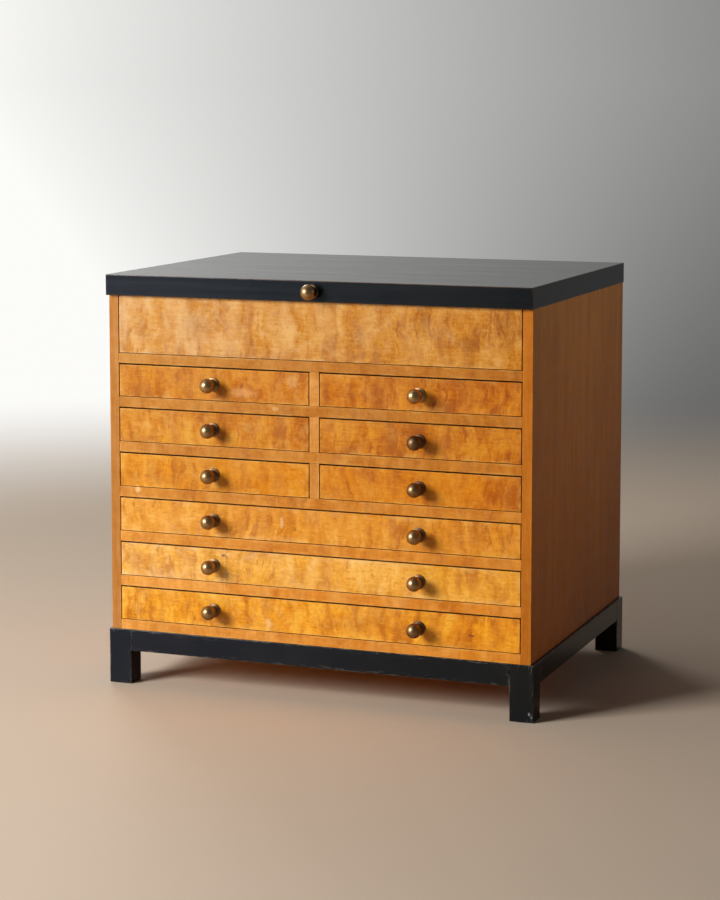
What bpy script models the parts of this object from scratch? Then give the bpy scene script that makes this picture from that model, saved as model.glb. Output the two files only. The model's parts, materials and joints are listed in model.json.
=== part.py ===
"""Gentleman's chest in flame birch: a lift-up lid over a shallow well, three rows of paired drawers,
three full-width drawers and a black frame base on four square feet.

Metres, +Z up. The front faces -Y, the floor is at Z = 0 and the origin is under the middle of the chest.
The pieces are drawn from the carcass front at y = 0, and one empty carries them all to that origin.
"""

import math

import bmesh
import bpy
from mathutils import Matrix, Vector

# Fits
SEAT_GAP = 0.0003          # between pieces that touch
OVERRUN = 0.002            # how far a cutter runs past the face that it opens

# Carcass
CARCASS_WIDTH = 0.880
CARCASS_DEPTH = 0.652
SIDE_THICKNESS = 0.020
BACK_THICKNESS = 0.020
BACK_REBATE = 0.010        # how far the back reaches into each side
BOTTOM_THICKNESS = 0.020
SHELF_THICKNESS = 0.021
WELL_FLOOR_THICKNESS = 0.020
HOUSING_DEPTH = 0.008      # how far a shelf is let into each side
HOUSING_STOP = 0.012       # where the housings stop behind the front edge

# Blind panel in front of the well
WELL_HEIGHT = 0.1155
PANEL_THICKNESS = 0.020
PANEL_END_GAP = 0.0020
PANEL_TONGUE_DEPTH = 0.006
PANEL_TONGUE_THICKNESS = 0.008

# Drawer rows, counted from the top
PAIRED_ROWS = 3
WIDE_ROWS = 3
TOP_ROW_OPENING = 0.067
ROW_OPENING = 0.0695
DIVIDER_THICKNESS = 0.020
DIVIDER_TONGUE = 0.006

# Drawers
FRONT_THICKNESS = 0.020
FRONT_END_GAP = 0.0018
FRONT_TOP_GAP = 0.0028
FRONT_BOTTOM_GAP = 0.0012
TRAY_TOP_GAP = 0.0038
TRAY_BACK_GAP = 0.0120
TRAY_SIDE_THICKNESS = 0.010
TRAY_BACK_THICKNESS = 0.009
TRAY_BACK_DROP = 0.004     # the back stands this much lower than the sides
TRAY_BACK_INSET = 0.010    # the sides run on this far behind the back
TRAY_BOTTOM_TAIL = 0.004   # the bottom runs on this far behind the back
TRAY_BOTTOM_THICKNESS = 0.0045
TRAY_BOTTOM_RAISE = 0.005
TRAY_GROOVE = 0.004        # how far the bottom and the back are let into the sides
FRONT_GROOVE = 0.006       # how far the bottom is let into the front
TAILS = 3
TAIL_WIDTH_SHARE = 0.66    # of the pitch of the tails, at the tip
TAIL_SLOPE = 1 / 6
TAIL_LAP = 0.005           # wood left in front of the tails

# Turned brass knobs
KNOB_BALL_DIAMETER = 0.029
KNOB_REACH = 0.027         # from the seat to the middle of the ball
LID_KNOB_BALL_DIAMETER = 0.030
LID_KNOB_REACH = 0.0195
KNOB_NECK_DIAMETER = 0.011
KNOB_ROSE_DIAMETER = 0.028
KNOB_ROSE_EDGE = 0.0025
KNOB_STUD_DIAMETER = 0.006
KNOB_STUD_LENGTH = 0.014
KNOB_STEPS = 16
BALL_POINTS = 8
FLARE_POINTS = 4

# Lid
LID_THICKNESS = 0.0415
LID_SIDE_OVERHANG = 0.002
LID_FRONT_OVERHANG = 0.011
LID_ARRIS = 0.0015

# Butt hinges
HINGE_LENGTH = 0.076
HINGE_INSET = 0.160        # from the end of the carcass to the middle of a hinge
LEAF_WIDTH = 0.017
LEAF_THICKNESS = 0.002
KNUCKLES = 3
KNUCKLE_DIAMETER = 0.007
KNUCKLE_CLEARANCE = 0.0004
PIN_DIAMETER = 0.0036
PIN_HEAD = 0.0015
HINGE_STEPS = 16

# Base frame
BASE_HEIGHT = 0.111
BASE_SIDE_LEDGE = 0.006
BASE_FRONT_LEDGE = 0.002
BASE_BACK_LEDGE = 0.004
FOOT_WIDTH = 0.0475
FOOT_DEPTH = 0.045
FOOT_ARRIS = 0.001
APRON_HEIGHT = 0.043
APRON_THICKNESS = 0.025
TENON_LENGTH = 0.018
TENON_THICKNESS = 0.010
TENON_HEIGHT = 0.030

# Places that follow from the sizes
INNER_HALF = CARCASS_WIDTH / 2 - SIDE_THICKNESS
SHELF_BACK = CARCASS_DEPTH - BACK_THICKNESS - SEAT_GAP
CARCASS_FOOT = BASE_HEIGHT + SEAT_GAP
DRAWER_ROWS = PAIRED_ROWS + WIDE_ROWS
HINGE_AXIS_Y = CARCASS_DEPTH + KNUCKLE_DIAMETER / 2 + KNUCKLE_CLEARANCE
KNOB_FRONT = -SEAT_GAP - KNOB_REACH - KNOB_BALL_DIAMETER / 2
LID_KNOB_FRONT = -LID_FRONT_OVERHANG - SEAT_GAP - LID_KNOB_REACH - LID_KNOB_BALL_DIAMETER / 2
FRONT_MOST = min(KNOB_FRONT, LID_KNOB_FRONT)
BACK_MOST = max(HINGE_AXIS_Y + KNUCKLE_DIAMETER / 2, CARCASS_DEPTH + BASE_BACK_LEDGE)
ORIGIN_Y = (FRONT_MOST + BACK_MOST) / 2

# Finishes: colour, roughness, metallic
FINISHES = {
    "flame_birch": ((0.620, 0.290, 0.070), 0.38, 0.0),
    "birch_edge": ((0.520, 0.220, 0.055), 0.42, 0.0),
    "birch_side": ((0.400, 0.150, 0.040), 0.42, 0.0),
    "drawer_birch": ((0.600, 0.430, 0.250), 0.60, 0.0),
    "black_stain": ((0.012, 0.012, 0.014), 0.36, 0.0),
    "old_brass": ((0.360, 0.250, 0.110), 0.34, 1.0),
}

PARTS = "gentlemans_chest"
CUTTERS = "cutters"
WELD = 0.00001
SMOOTH_ANGLE = math.radians(35)
ACROSS = Matrix(((0, 0, 1, 0), (1, 0, 0, 0), (0, 1, 0, 0), (0, 0, 0, 1)))  # an outline in Y and Z


def row_heights():
    """The opening of each drawer row, (lowest, highest), from the top row down, then the well floor's top."""
    rows = []
    low = CARCASS_FOOT + BOTTOM_THICKNESS
    for row in range(DRAWER_ROWS, 0, -1):
        high = low + (TOP_ROW_OPENING if row == 1 else ROW_OPENING)
        rows.insert(0, (low, high))
        low = high + SHELF_THICKNESS
    return rows, rows[0][1] + WELL_FLOOR_THICKNESS


ROWS, WELL_Z = row_heights()
CARCASS_TOP = WELL_Z + WELL_HEIGHT
LID_Z = CARCASS_TOP + SEAT_GAP
HINGE_AXIS_Z = (CARCASS_TOP + LID_Z) / 2


def start_scene():
    """An empty scene with one collection for the parts and one for the cutters."""
    for old in list(bpy.data.objects):
        bpy.data.objects.remove(old)
    for name in (PARTS, CUTTERS):
        bpy.context.scene.collection.children.link(bpy.data.collections.new(name))
    for name, (colour, roughness, metallic) in FINISHES.items():
        finish = bpy.data.materials.new(name)
        finish.use_nodes = True
        shader = finish.node_tree.nodes["Principled BSDF"]
        shader.inputs["Base Color"].default_value = (*colour, 1)
        shader.inputs["Roughness"].default_value = roughness
        shader.inputs["Metallic"].default_value = metallic


def empty(name, parent, location):
    """An axis that pieces hang on."""
    axis = bpy.data.objects.new(name, None)
    bpy.data.collections[PARTS].objects.link(axis)
    axis.parent = parent
    axis.location = location
    return axis


def part(name, mesh, finish, parent, location=(0, 0, 0)):
    """A piece of the chest."""
    piece = bpy.data.objects.new(name, mesh)
    bpy.data.collections[PARTS].objects.link(piece)
    piece.parent = parent
    piece.location = location
    mesh.materials.append(bpy.data.materials[finish])
    return piece


def helper(name, mesh, parent, location=(0, 0, 0)):
    """A solid that only cuts or joins."""
    tool = bpy.data.objects.new(name, mesh)
    bpy.data.collections[CUTTERS].objects.link(tool)
    tool.parent = parent
    tool.location = location
    tool.hide_render = True
    tool.display_type = "WIRE"
    return tool


def combine(piece, operation, tool):
    """Cuts the tool out of the piece, or joins it on."""
    boolean = piece.modifiers.new(tool.name, "BOOLEAN")
    boolean.operation = operation
    boolean.object = tool
    boolean.solver = "EXACT"


def boxes(name, corners):
    """Cuboids, each given by two opposite corners, in one mesh."""
    mesh = bpy.data.meshes.new(name)
    shape = bmesh.new()
    for low, high in corners:
        low = Vector(low)
        high = Vector(high)
        size = Matrix.Diagonal((*(high - low), 1))
        bmesh.ops.create_cube(shape, size=1, matrix=Matrix.Translation((low + high) / 2) @ size)
    shape.to_mesh(mesh)
    shape.free()
    return mesh


def board(name, low, high, finish, parent, arris=0):
    """A sawn board, its edges eased by the arris."""
    low = Vector(low)
    high = Vector(high)
    half = (high - low) / 2
    piece = part(name, boxes(name, [(-half, half)]), finish, parent, (low + high) / 2)
    if arris:
        bevel = piece.modifiers.new("arris", "BEVEL")
        bevel.width = arris
        bevel.segments = 2
    return piece


def cut_boxes(piece, name, corners, parent):
    """Cuts cuboids out of a piece."""
    combine(piece, "DIFFERENCE", helper(name, boxes(name, corners), parent))


def plate(name, outline, thickness, turn):
    """A flat outline with a thickness, centred on its plane, then turned."""
    curve = bpy.data.curves.new(name, "CURVE")
    curve.dimensions = "2D"
    curve.fill_mode = "BOTH"
    curve.extrude = thickness / 2
    spline = curve.splines.new("POLY")
    spline.points.add(len(outline) - 1)
    for point, (u, v) in zip(spline.points, outline):
        point.co = (u, v, 0, 1)
    spline.use_cyclic_u = True
    drawn = bpy.data.objects.new(name, curve)
    bpy.context.scene.collection.objects.link(drawn)
    graph = bpy.context.evaluated_depsgraph_get()
    mesh = bpy.data.meshes.new_from_object(drawn.evaluated_get(graph))
    bpy.data.objects.remove(drawn)
    shape = bmesh.new()
    shape.from_mesh(mesh)
    bmesh.ops.remove_doubles(shape, verts=shape.verts, dist=WELD)
    for end in (-1, 1):
        cap = [face for face in shape.faces if all(vert.co.z * end > 0 for vert in face.verts)]
        bmesh.ops.dissolve_faces(shape, faces=cap)
    shape.transform(turn)
    bmesh.ops.recalc_face_normals(shape, faces=shape.faces)
    shape.to_mesh(mesh)
    shape.free()
    return mesh


def turned(name, profile, steps, finish, parent, location, rotation):
    """A profile of (radius, height) points, from the top down, turned about its own Z."""
    mesh = bpy.data.meshes.new(name)
    points = [(radius, 0, height) for radius, height in profile]
    mesh.from_pydata(points, [(i, i + 1) for i in range(len(points) - 1)], [])
    piece = part(name, mesh, finish, parent, location)
    piece.rotation_euler = rotation
    screw = piece.modifiers.new("turning", "SCREW")
    screw.steps = steps
    screw.render_steps = steps
    screw.use_merge_vertices = True
    screw.merge_threshold = WELD
    screw.use_smooth_shade = True
    return piece


def round_bar(name, radius, length, steps, parent, location, turn):
    """A cylinder that cuts or joins, its axis turned from Z."""
    mesh = bpy.data.meshes.new(name)
    shape = bmesh.new()
    bmesh.ops.create_cone(
        shape, cap_ends=True, segments=steps, radius1=radius, radius2=radius, depth=length, matrix=turn
    )
    shape.to_mesh(mesh)
    shape.free()
    return helper(name, mesh, parent, location)


def shelf_outline():
    """A shelf in plan: between the sides in front of the housing stop, let into them behind it."""
    edge = INNER_HALF - SEAT_GAP
    tongue = INNER_HALF + HOUSING_DEPTH
    right = [(edge, 0), (edge, HOUSING_STOP), (tongue, HOUSING_STOP), (tongue, SHELF_BACK)]
    return right + [(-x, y) for x, y in reversed(right)]


def shelf_levels():
    """(name, underside, thickness) of every level that is housed in the sides, from the bottom up."""
    levels = [("bottom_board", CARCASS_FOOT, BOTTOM_THICKNESS)]
    for row in range(DRAWER_ROWS - 1, 0, -1):
        levels.append((f"shelf_{row}", ROWS[row][1], SHELF_THICKNESS))
    levels.append(("well_floor", ROWS[0][1], WELL_FLOOR_THICKNESS))
    return levels


def build_shelves(root):
    """Full-depth dust boards whose front edges show as the rails between the drawers."""
    for name, underside, thickness in shelf_levels():
        mesh = plate(name, shelf_outline(), thickness, Matrix())
        part(name, mesh, "birch_edge", root, (0, 0, underside + thickness / 2))


def build_dividers(root):
    """Partitions between paired drawers, tongued into the boards above and below."""
    half = DIVIDER_THICKNESS / 2 + SEAT_GAP
    groove = DIVIDER_TONGUE + SEAT_GAP
    start = HOUSING_STOP - SEAT_GAP
    end = SHELF_BACK + OVERRUN
    for row in range(1, PAIRED_ROWS + 1):
        low, high = ROWS[row - 1]
        foot = low + SEAT_GAP
        head = high - SEAT_GAP
        outline = [
            (0, foot),
            (HOUSING_STOP, foot),
            (HOUSING_STOP, low - DIVIDER_TONGUE),
            (SHELF_BACK, low - DIVIDER_TONGUE),
            (SHELF_BACK, high + DIVIDER_TONGUE),
            (HOUSING_STOP, high + DIVIDER_TONGUE),
            (HOUSING_STOP, head),
            (0, head),
        ]
        name = f"divider_{row}"
        part(name, plate(name, outline, DIVIDER_THICKNESS, ACROSS), "birch_edge", root)
        above = "well_floor" if row == 1 else f"shelf_{row - 1}"
        grooves = {
            above: (high - OVERRUN, high + groove),
            f"shelf_{row}": (low - groove, low + OVERRUN),
        }
        for shelf, (under, over) in grooves.items():
            corners = [((-half, start, under), (half, end, over))]
            cut_boxes(bpy.data.objects[shelf], f"groove_{row}_{shelf}", corners, root)


def side_recess(sign, depth, front, back, under, over):
    """Two corners of a cut into the inner face of the left (-1) or right (1) side."""
    mouth = sign * (INNER_HALF - OVERRUN)
    bed = sign * (INNER_HALF + depth + SEAT_GAP)
    return (min(mouth, bed), front, under), (max(mouth, bed), back, over)


def build_sides(root):
    """Side panels, housed for every board, rebated for the back and grooved for the blind panel."""
    outer = CARCASS_WIDTH / 2
    tongue_front = (PANEL_THICKNESS - PANEL_TONGUE_THICKNESS) / 2
    tongue_back = tongue_front + PANEL_TONGUE_THICKNESS
    rebate_front = CARCASS_DEPTH - BACK_THICKNESS - SEAT_GAP
    foot = CARCASS_FOOT - OVERRUN
    top = CARCASS_TOP + OVERRUN
    for name, sign in (("side_left", -1), ("side_right", 1)):
        low = (min(sign * INNER_HALF, sign * outer), 0, CARCASS_FOOT)
        high = (max(sign * INNER_HALF, sign * outer), CARCASS_DEPTH, CARCASS_TOP)
        side = board(name, low, high, "birch_side", root)
        rebate = side_recess(sign, BACK_REBATE, rebate_front, CARCASS_DEPTH + OVERRUN, foot, top)
        cut_boxes(side, f"{name}_rebate", [rebate], root)
        housings = []
        for level, underside, thickness in shelf_levels():
            under = foot if level == "bottom_board" else underside - SEAT_GAP
            over = underside + thickness + SEAT_GAP
            front = HOUSING_STOP - SEAT_GAP
            housings.append(side_recess(sign, HOUSING_DEPTH, front, SHELF_BACK + OVERRUN, under, over))
        cut_boxes(side, f"{name}_housings", housings, root)
        groove = side_recess(
            sign, PANEL_TONGUE_DEPTH, tongue_front - SEAT_GAP, tongue_back + SEAT_GAP, WELL_Z, top
        )
        cut_boxes(side, f"{name}_panel_groove", [groove], root)


def build_blind_panel(root):
    """The fixed panel in front of the well, flush like a drawer front and tongued into the sides."""
    edge = INNER_HALF - PANEL_END_GAP
    tongue = INNER_HALF + PANEL_TONGUE_DEPTH
    near = (PANEL_THICKNESS - PANEL_TONGUE_THICKNESS) / 2
    far = near + PANEL_TONGUE_THICKNESS
    right = [(edge, 0), (edge, near), (tongue, near), (tongue, far), (edge, far), (edge, PANEL_THICKNESS)]
    outline = right + [(-x, y) for x, y in reversed(right)]
    height = WELL_HEIGHT - FRONT_BOTTOM_GAP
    mesh = plate("well_front", outline, height, Matrix())
    part("well_front", mesh, "flame_birch", root, (0, 0, CARCASS_TOP - height / 2))


def hinge_centres():
    """(side, x) of the two hinges."""
    reach = CARCASS_WIDTH / 2 - HINGE_INSET
    return (("left", -reach), ("right", reach))


def leaf_mortises(low, high):
    """Corners of the two beds that the hinge leaves lie in, between two heights."""
    half = HINGE_LENGTH / 2 + SEAT_GAP
    front = CARCASS_DEPTH - LEAF_WIDTH - SEAT_GAP
    back = CARCASS_DEPTH + OVERRUN
    return [((x - half, front, low), (x + half, back, high)) for _, x in hinge_centres()]


def build_back(root):
    """The back panel, between the rebates of the sides, let in for the hinges at its top edge."""
    half = INNER_HALF + BACK_REBATE
    low = (-half, CARCASS_DEPTH - BACK_THICKNESS, CARCASS_FOOT)
    high = (half, CARCASS_DEPTH, CARCASS_TOP)
    back = board("back_panel", low, high, "birch_side", root)
    beds = leaf_mortises(CARCASS_TOP - LEAF_THICKNESS - SEAT_GAP, CARCASS_TOP + OVERRUN)
    cut_boxes(back, "back_hinge_beds", beds, root)


def knob_profile(ball_diameter, reach):
    """A ball on a flared neck and rose, with the stud that holds it, from the front down."""
    ball = ball_diameter / 2
    neck = KNOB_NECK_DIAMETER / 2
    rose = KNOB_ROSE_DIAMETER / 2
    stud = KNOB_STUD_DIAMETER / 2
    last = math.pi - math.asin(neck / ball)
    turns = [last * i / BALL_POINTS for i in range(BALL_POINTS + 1)]
    profile = [(ball * math.sin(a), reach + ball * math.cos(a)) for a in turns]
    top = profile[-1][1]
    for i in range(1, FLARE_POINTS + 1):
        sweep = math.pi / 2 * i / FLARE_POINTS
        radius = neck + (rose - neck) * (1 - math.cos(sweep))
        profile.append((radius, KNOB_ROSE_EDGE + (top - KNOB_ROSE_EDGE) * (1 - math.sin(sweep))))
    profile += [(rose, 0), (stud, 0), (stud, -KNOB_STUD_LENGTH), (0, -KNOB_STUD_LENGTH)]
    return profile


def knob(name, profile, seat, carrier, parent):
    """A turned knob that faces -Y on its seat, with the hole for its stud in the piece that carries it."""
    x, y, z = seat
    facing = (math.pi / 2, 0, 0)
    turned(name, profile, KNOB_STEPS, "old_brass", parent, (x, y - SEAT_GAP, z), facing)
    depth = KNOB_STUD_LENGTH + OVERRUN
    hole = round_bar(
        f"{name}_hole",
        KNOB_STUD_DIAMETER / 2 + SEAT_GAP,
        depth,
        KNOB_STEPS,
        parent,
        (x, y + KNOB_STUD_LENGTH - depth / 2, z),
        Matrix.Rotation(math.pi / 2, 4, "X"),
    )
    combine(carrier, "DIFFERENCE", hole)


def build_lid(root):
    """The thick black lid, hung on its hinge axis, with a knob in its front edge."""
    axis = empty("lid_axis", root, (0, HINGE_AXIS_Y, HINGE_AXIS_Z))
    offset = Vector(axis.location)
    half = CARCASS_WIDTH / 2 + LID_SIDE_OVERHANG
    low = Vector((-half, -LID_FRONT_OVERHANG, LID_Z)) - offset
    high = Vector((half, CARCASS_DEPTH, LID_Z + LID_THICKNESS)) - offset
    lid = board("lid_panel", low, high, "black_stain", axis, LID_ARRIS)
    beds = leaf_mortises(LID_Z - OVERRUN, LID_Z + LEAF_THICKNESS + SEAT_GAP)
    cut_boxes(lid, "lid_hinge_beds", beds, root)
    seat = Vector((0, -LID_FRONT_OVERHANG, LID_Z + LID_THICKNESS / 2)) - offset
    knob("lid_knob", knob_profile(LID_KNOB_BALL_DIAMETER, LID_KNOB_REACH), seat, lid, axis)
    return axis


def knuckle_span(index):
    """Where one knuckle starts and ends along the hinge."""
    pitch = HINGE_LENGTH / KNUCKLES
    start = -HINGE_LENGTH / 2 + index * pitch
    return start + SEAT_GAP / 2, start + pitch - SEAT_GAP / 2


def leaf_outline(indices):
    """A leaf in plan from the hinge axis, with a tab out to each of its knuckles, listed left to right."""
    half = HINGE_LENGTH / 2
    shoulder = CARCASS_DEPTH - HINGE_AXIS_Y
    bed = shoulder - LEAF_WIDTH
    outline = [(half, shoulder), (half, bed), (-half, bed), (-half, shoulder)]
    for index in indices:
        start, end = knuckle_span(index)
        outline += [(start, shoulder), (start, 0), (end, 0), (end, shoulder)]
    return outline


def hinge_leaf(name, indices, middle, parent, location):
    """A leaf whose plate lies at a height from the axis, joined to its knuckles and bored for the pin."""
    along = Matrix.Rotation(math.pi / 2, 4, "Y")
    mesh = plate(name, leaf_outline(indices), LEAF_THICKNESS, Matrix.Translation((0, 0, middle)))
    leaf = part(name, mesh, "old_brass", parent, location)
    x, y, z = location
    for index in indices:
        start, end = knuckle_span(index)
        place = (x + (start + end) / 2, y, z)
        knuckle = round_bar(
            f"{name}_knuckle_{index}", KNUCKLE_DIAMETER / 2, end - start, HINGE_STEPS, parent, place, along
        )
        combine(leaf, "UNION", knuckle)
    bore = round_bar(
        f"{name}_bore",
        PIN_DIAMETER / 2 + SEAT_GAP,
        HINGE_LENGTH + 2 * OVERRUN,
        HINGE_STEPS,
        parent,
        location,
        along,
    )
    combine(leaf, "DIFFERENCE", bore)


def build_hinges(root, lid_axis):
    """Two butt hinges: outer knuckles on the body's leaf, the middle one on the lid's, and a headed pin."""
    body_middle = CARCASS_TOP - LEAF_THICKNESS / 2 - HINGE_AXIS_Z
    lid_middle = LID_Z + LEAF_THICKNESS / 2 - HINGE_AXIS_Z
    reach = HINGE_LENGTH / 2 + SEAT_GAP
    pin = PIN_DIAMETER / 2
    head = KNUCKLE_DIAMETER / 2 - SEAT_GAP
    pin_profile = [
        (0, reach + PIN_HEAD),
        (head * math.cos(math.pi / 4), reach + PIN_HEAD * math.sin(math.pi / 4)),
        (head, reach),
        (pin, reach),
        (pin, -reach),
        (head, -reach),
        (head * math.cos(math.pi / 4), -reach - PIN_HEAD * math.sin(math.pi / 4)),
        (0, -reach - PIN_HEAD),
    ]
    for side, x in hinge_centres():
        on_body = (x, HINGE_AXIS_Y, HINGE_AXIS_Z)
        outer = range(0, KNUCKLES, 2)
        inner = range(1, KNUCKLES, 2)
        hinge_leaf(f"body_hinge_leaf_{side}", outer, body_middle, root, on_body)
        hinge_leaf(f"lid_hinge_leaf_{side}", inner, lid_middle, lid_axis, (x, 0, 0))
        sideways = (0, math.pi / 2, 0)
        turned(f"hinge_pin_{side}", pin_profile, HINGE_STEPS, "old_brass", root, on_body, sideways)


def tail_outlines(height, clearance, overrun):
    """The dovetails on a tray side, in Y and Z, from its shoulder at the back of the front.

    A tail is narrowest at the shoulder and widens to its tip. The clearance grows it all round for the
    socket, and the overrun carries the socket past the back of the front.
    """
    pitch = height / TAILS
    tip = TAIL_LAP + SEAT_GAP
    length = FRONT_THICKNESS + SEAT_GAP - tip
    half_tip = pitch * TAIL_WIDTH_SHARE / 2
    half_root = half_tip - length * TAIL_SLOPE
    tails = []
    for i in range(TAILS):
        middle = (i + 0.5) * pitch
        near = half_tip + clearance
        far = half_root + clearance - overrun * TAIL_SLOPE
        back = FRONT_THICKNESS + SEAT_GAP + overrun
        tails.append([
            (back, middle - far),
            (tip - clearance, middle - near),
            (tip - clearance, middle + near),
            (back, middle + far),
        ])
    return tails


def build_tray(name, width, height, slide):
    """Sides with dovetails, back and bottom, glued up as one: the part of a drawer behind its front."""
    length = CARCASS_DEPTH - BACK_THICKNESS - TRAY_BACK_GAP
    shoulder = FRONT_THICKNESS + SEAT_GAP
    tails = [point for tail in tail_outlines(height, 0, 0) for point in tail]
    outline = [(length, 0), (shoulder, 0), *tails, (shoulder, height), (length, height)]
    side_place = (width - TRAY_SIDE_THICKNESS) / 2
    let_in = width / 2 - TRAY_SIDE_THICKNESS + TRAY_GROOVE
    back_face = length - TRAY_BACK_INSET
    bottom_top = TRAY_BOTTOM_RAISE + TRAY_BOTTOM_THICKNESS
    bottom = (
        (-let_in, FRONT_THICKNESS - FRONT_GROOVE + SEAT_GAP, TRAY_BOTTOM_RAISE),
        (let_in, back_face + TRAY_BOTTOM_TAIL, bottom_top),
    )
    back = (
        (-let_in, back_face - TRAY_BACK_THICKNESS, bottom_top - TRAY_BOTTOM_THICKNESS / 2),
        (let_in, back_face, height - TRAY_BACK_DROP),
    )
    left, right = [plate(f"{name}_side", outline, TRAY_SIDE_THICKNESS, ACROSS) for _ in range(2)]
    tray = part(f"{name}_tray", left, "drawer_birch", slide, (-side_place, 0, SEAT_GAP))
    joined = {
        "bottom": (boxes(f"{name}_bottom", [bottom]), 0),
        "right_side": (right, side_place),
        "back": (boxes(f"{name}_back", [back]), 0),
    }
    for label, (mesh, x) in joined.items():
        combine(tray, "UNION", helper(f"{name}_{label}", mesh, slide, (x, 0, SEAT_GAP)))


def build_front(name, width, height, tray_height, slide):
    """A drawer front, socketed for the tray's tails and grooved for its bottom."""
    low = (-width / 2, 0, FRONT_BOTTOM_GAP)
    high = (width / 2, FRONT_THICKNESS, FRONT_BOTTOM_GAP + height)
    front = board(f"{name}_front", low, high, "flame_birch", slide)
    thickness = TRAY_SIDE_THICKNESS + SEAT_GAP + OVERRUN
    middle = width / 2 + OVERRUN - thickness / 2
    for side, x in (("left", -middle), ("right", middle)):
        for number, tail in enumerate(tail_outlines(tray_height, SEAT_GAP, OVERRUN), start=1):
            label = f"{name}_socket_{side}_{number}"
            socket = helper(label, plate(label, tail, thickness, ACROSS), slide, (x, 0, SEAT_GAP))
            combine(front, "DIFFERENCE", socket)
    half = width / 2 - TRAY_SIDE_THICKNESS + TRAY_GROOVE + SEAT_GAP
    groove_top = TRAY_BOTTOM_RAISE + TRAY_BOTTOM_THICKNESS + 2 * SEAT_GAP
    groove = (
        (-half, FRONT_THICKNESS - FRONT_GROOVE, TRAY_BOTTOM_RAISE),
        (half, FRONT_THICKNESS + OVERRUN, groove_top),
    )
    cut_boxes(front, f"{name}_bottom_groove", [groove], slide)
    return front


def build_drawer(name, left, right, opening, knobs, root):
    """One drawer in its opening: front, tray and knobs, sliding on its shelf along -Y."""
    low, high = opening
    slide = empty(f"{name}_slide", root, ((left + right) / 2, 0, low))
    width = right - left - 2 * FRONT_END_GAP
    height = high - low - FRONT_TOP_GAP - FRONT_BOTTOM_GAP
    tray_height = high - low - TRAY_TOP_GAP - SEAT_GAP
    build_tray(name, width, tray_height, slide)
    front = build_front(name, width, height, tray_height, slide)
    profile = knob_profile(KNOB_BALL_DIAMETER, KNOB_REACH)
    for label, x in knobs:
        knob(f"{name}_{label}", profile, (x, 0, FRONT_BOTTOM_GAP + height / 2), front, slide)


def build_drawers(root):
    """Paired drawers above, wide drawers below, with every knob in the same two columns."""
    inner = DIVIDER_THICKNESS / 2
    column = (INNER_HALF + inner) / 2
    for row, opening in enumerate(ROWS, start=1):
        if row <= PAIRED_ROWS:
            build_drawer(f"drawer_{row}_left", -INNER_HALF, -inner, opening, [("knob", 0)], root)
            build_drawer(f"drawer_{row}_right", inner, INNER_HALF, opening, [("knob", 0)], root)
        else:
            pair = [("knob_left", -column), ("knob_right", column)]
            build_drawer(f"drawer_{row}", -INNER_HALF, INNER_HALF, opening, pair, root)


def build_feet(left, front, right, back, root):
    """Four square posts, the full height of the base, at its corners."""
    for depth_name, y in (("front", front), ("back", back - FOOT_DEPTH)):
        for side_name, x in (("left", left), ("right", right - FOOT_WIDTH)):
            low = (x, y, 0)
            high = (x + FOOT_WIDTH, y + FOOT_DEPTH, BASE_HEIGHT)
            board(f"foot_{depth_name}_{side_name}", low, high, "black_stain", root, FOOT_ARRIS)


def build_apron(name, low, high, along, feet, root):
    """An apron between two feet along X (0) or Y (1); a tenon at each end sits in a mortise in its foot."""
    low = Vector(low)
    high = Vector(high)
    inset = Vector((APRON_THICKNESS - TENON_THICKNESS, APRON_THICKNESS - TENON_THICKNESS,
                    APRON_HEIGHT - TENON_HEIGHT)) / 2
    inset[along] = -TENON_LENGTH
    ends = Vector((0, 0, 0))
    ends[along] = SEAT_GAP
    room = Vector((SEAT_GAP, SEAT_GAP, SEAT_GAP))
    rail = board(name, low + ends, high - ends, "black_stain", root)
    tenons = boxes(f"{name}_tenons", [(low + inset, high - inset)])
    combine(rail, "UNION", helper(f"{name}_tenons", tenons, root))
    for foot in feet:
        mortise = (low + inset - room, high - inset + room)
        cut_boxes(bpy.data.objects[foot], f"{name}_{foot}_mortise", [mortise], root)


def build_base(root):
    """The black base frame: four feet with aprons flush between them."""
    left = -CARCASS_WIDTH / 2 - BASE_SIDE_LEDGE
    right = -left
    front = -BASE_FRONT_LEDGE
    back = CARCASS_DEPTH + BASE_BACK_LEDGE
    under = BASE_HEIGHT - APRON_HEIGHT
    build_feet(left, front, right, back, root)
    for name, y in (("front", front), ("back", back - APRON_THICKNESS)):
        low = (left + FOOT_WIDTH, y, under)
        high = (right - FOOT_WIDTH, y + APRON_THICKNESS, BASE_HEIGHT)
        build_apron(f"apron_{name}", low, high, 0, (f"foot_{name}_left", f"foot_{name}_right"), root)
    for name, x in (("left", left), ("right", right - APRON_THICKNESS)):
        low = (x, front + FOOT_DEPTH, under)
        high = (x + APRON_THICKNESS, back - FOOT_DEPTH, BASE_HEIGHT)
        build_apron(f"apron_{name}", low, high, 1, (f"foot_front_{name}", f"foot_back_{name}"), root)


def smooth_round_pieces():
    """Soft shading on the turned pieces, with their sharp steps kept."""
    for piece in bpy.data.collections[PARTS].objects:
        if any(modifier.type == "SCREW" for modifier in piece.modifiers):
            piece.data.set_sharp_from_angle(angle=SMOOTH_ANGLE)


def main():
    start_scene()
    root = empty("gentlemans_chest", None, (0, -ORIGIN_Y, 0))
    build_shelves(root)
    build_dividers(root)
    build_sides(root)
    build_blind_panel(root)
    build_back(root)
    lid_axis = build_lid(root)
    build_hinges(root, lid_axis)
    build_drawers(root)
    build_base(root)
    smooth_round_pieces()


main()
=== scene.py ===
"""The finish of a gentleman's chest: every board, knob and hinge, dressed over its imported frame.

Metres, +Z up. The chest faces -Y and stands on Z = 0. Each piece takes its place from the frame's nodes.
"""

import json
import math
import zlib
from functools import reduce

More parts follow.
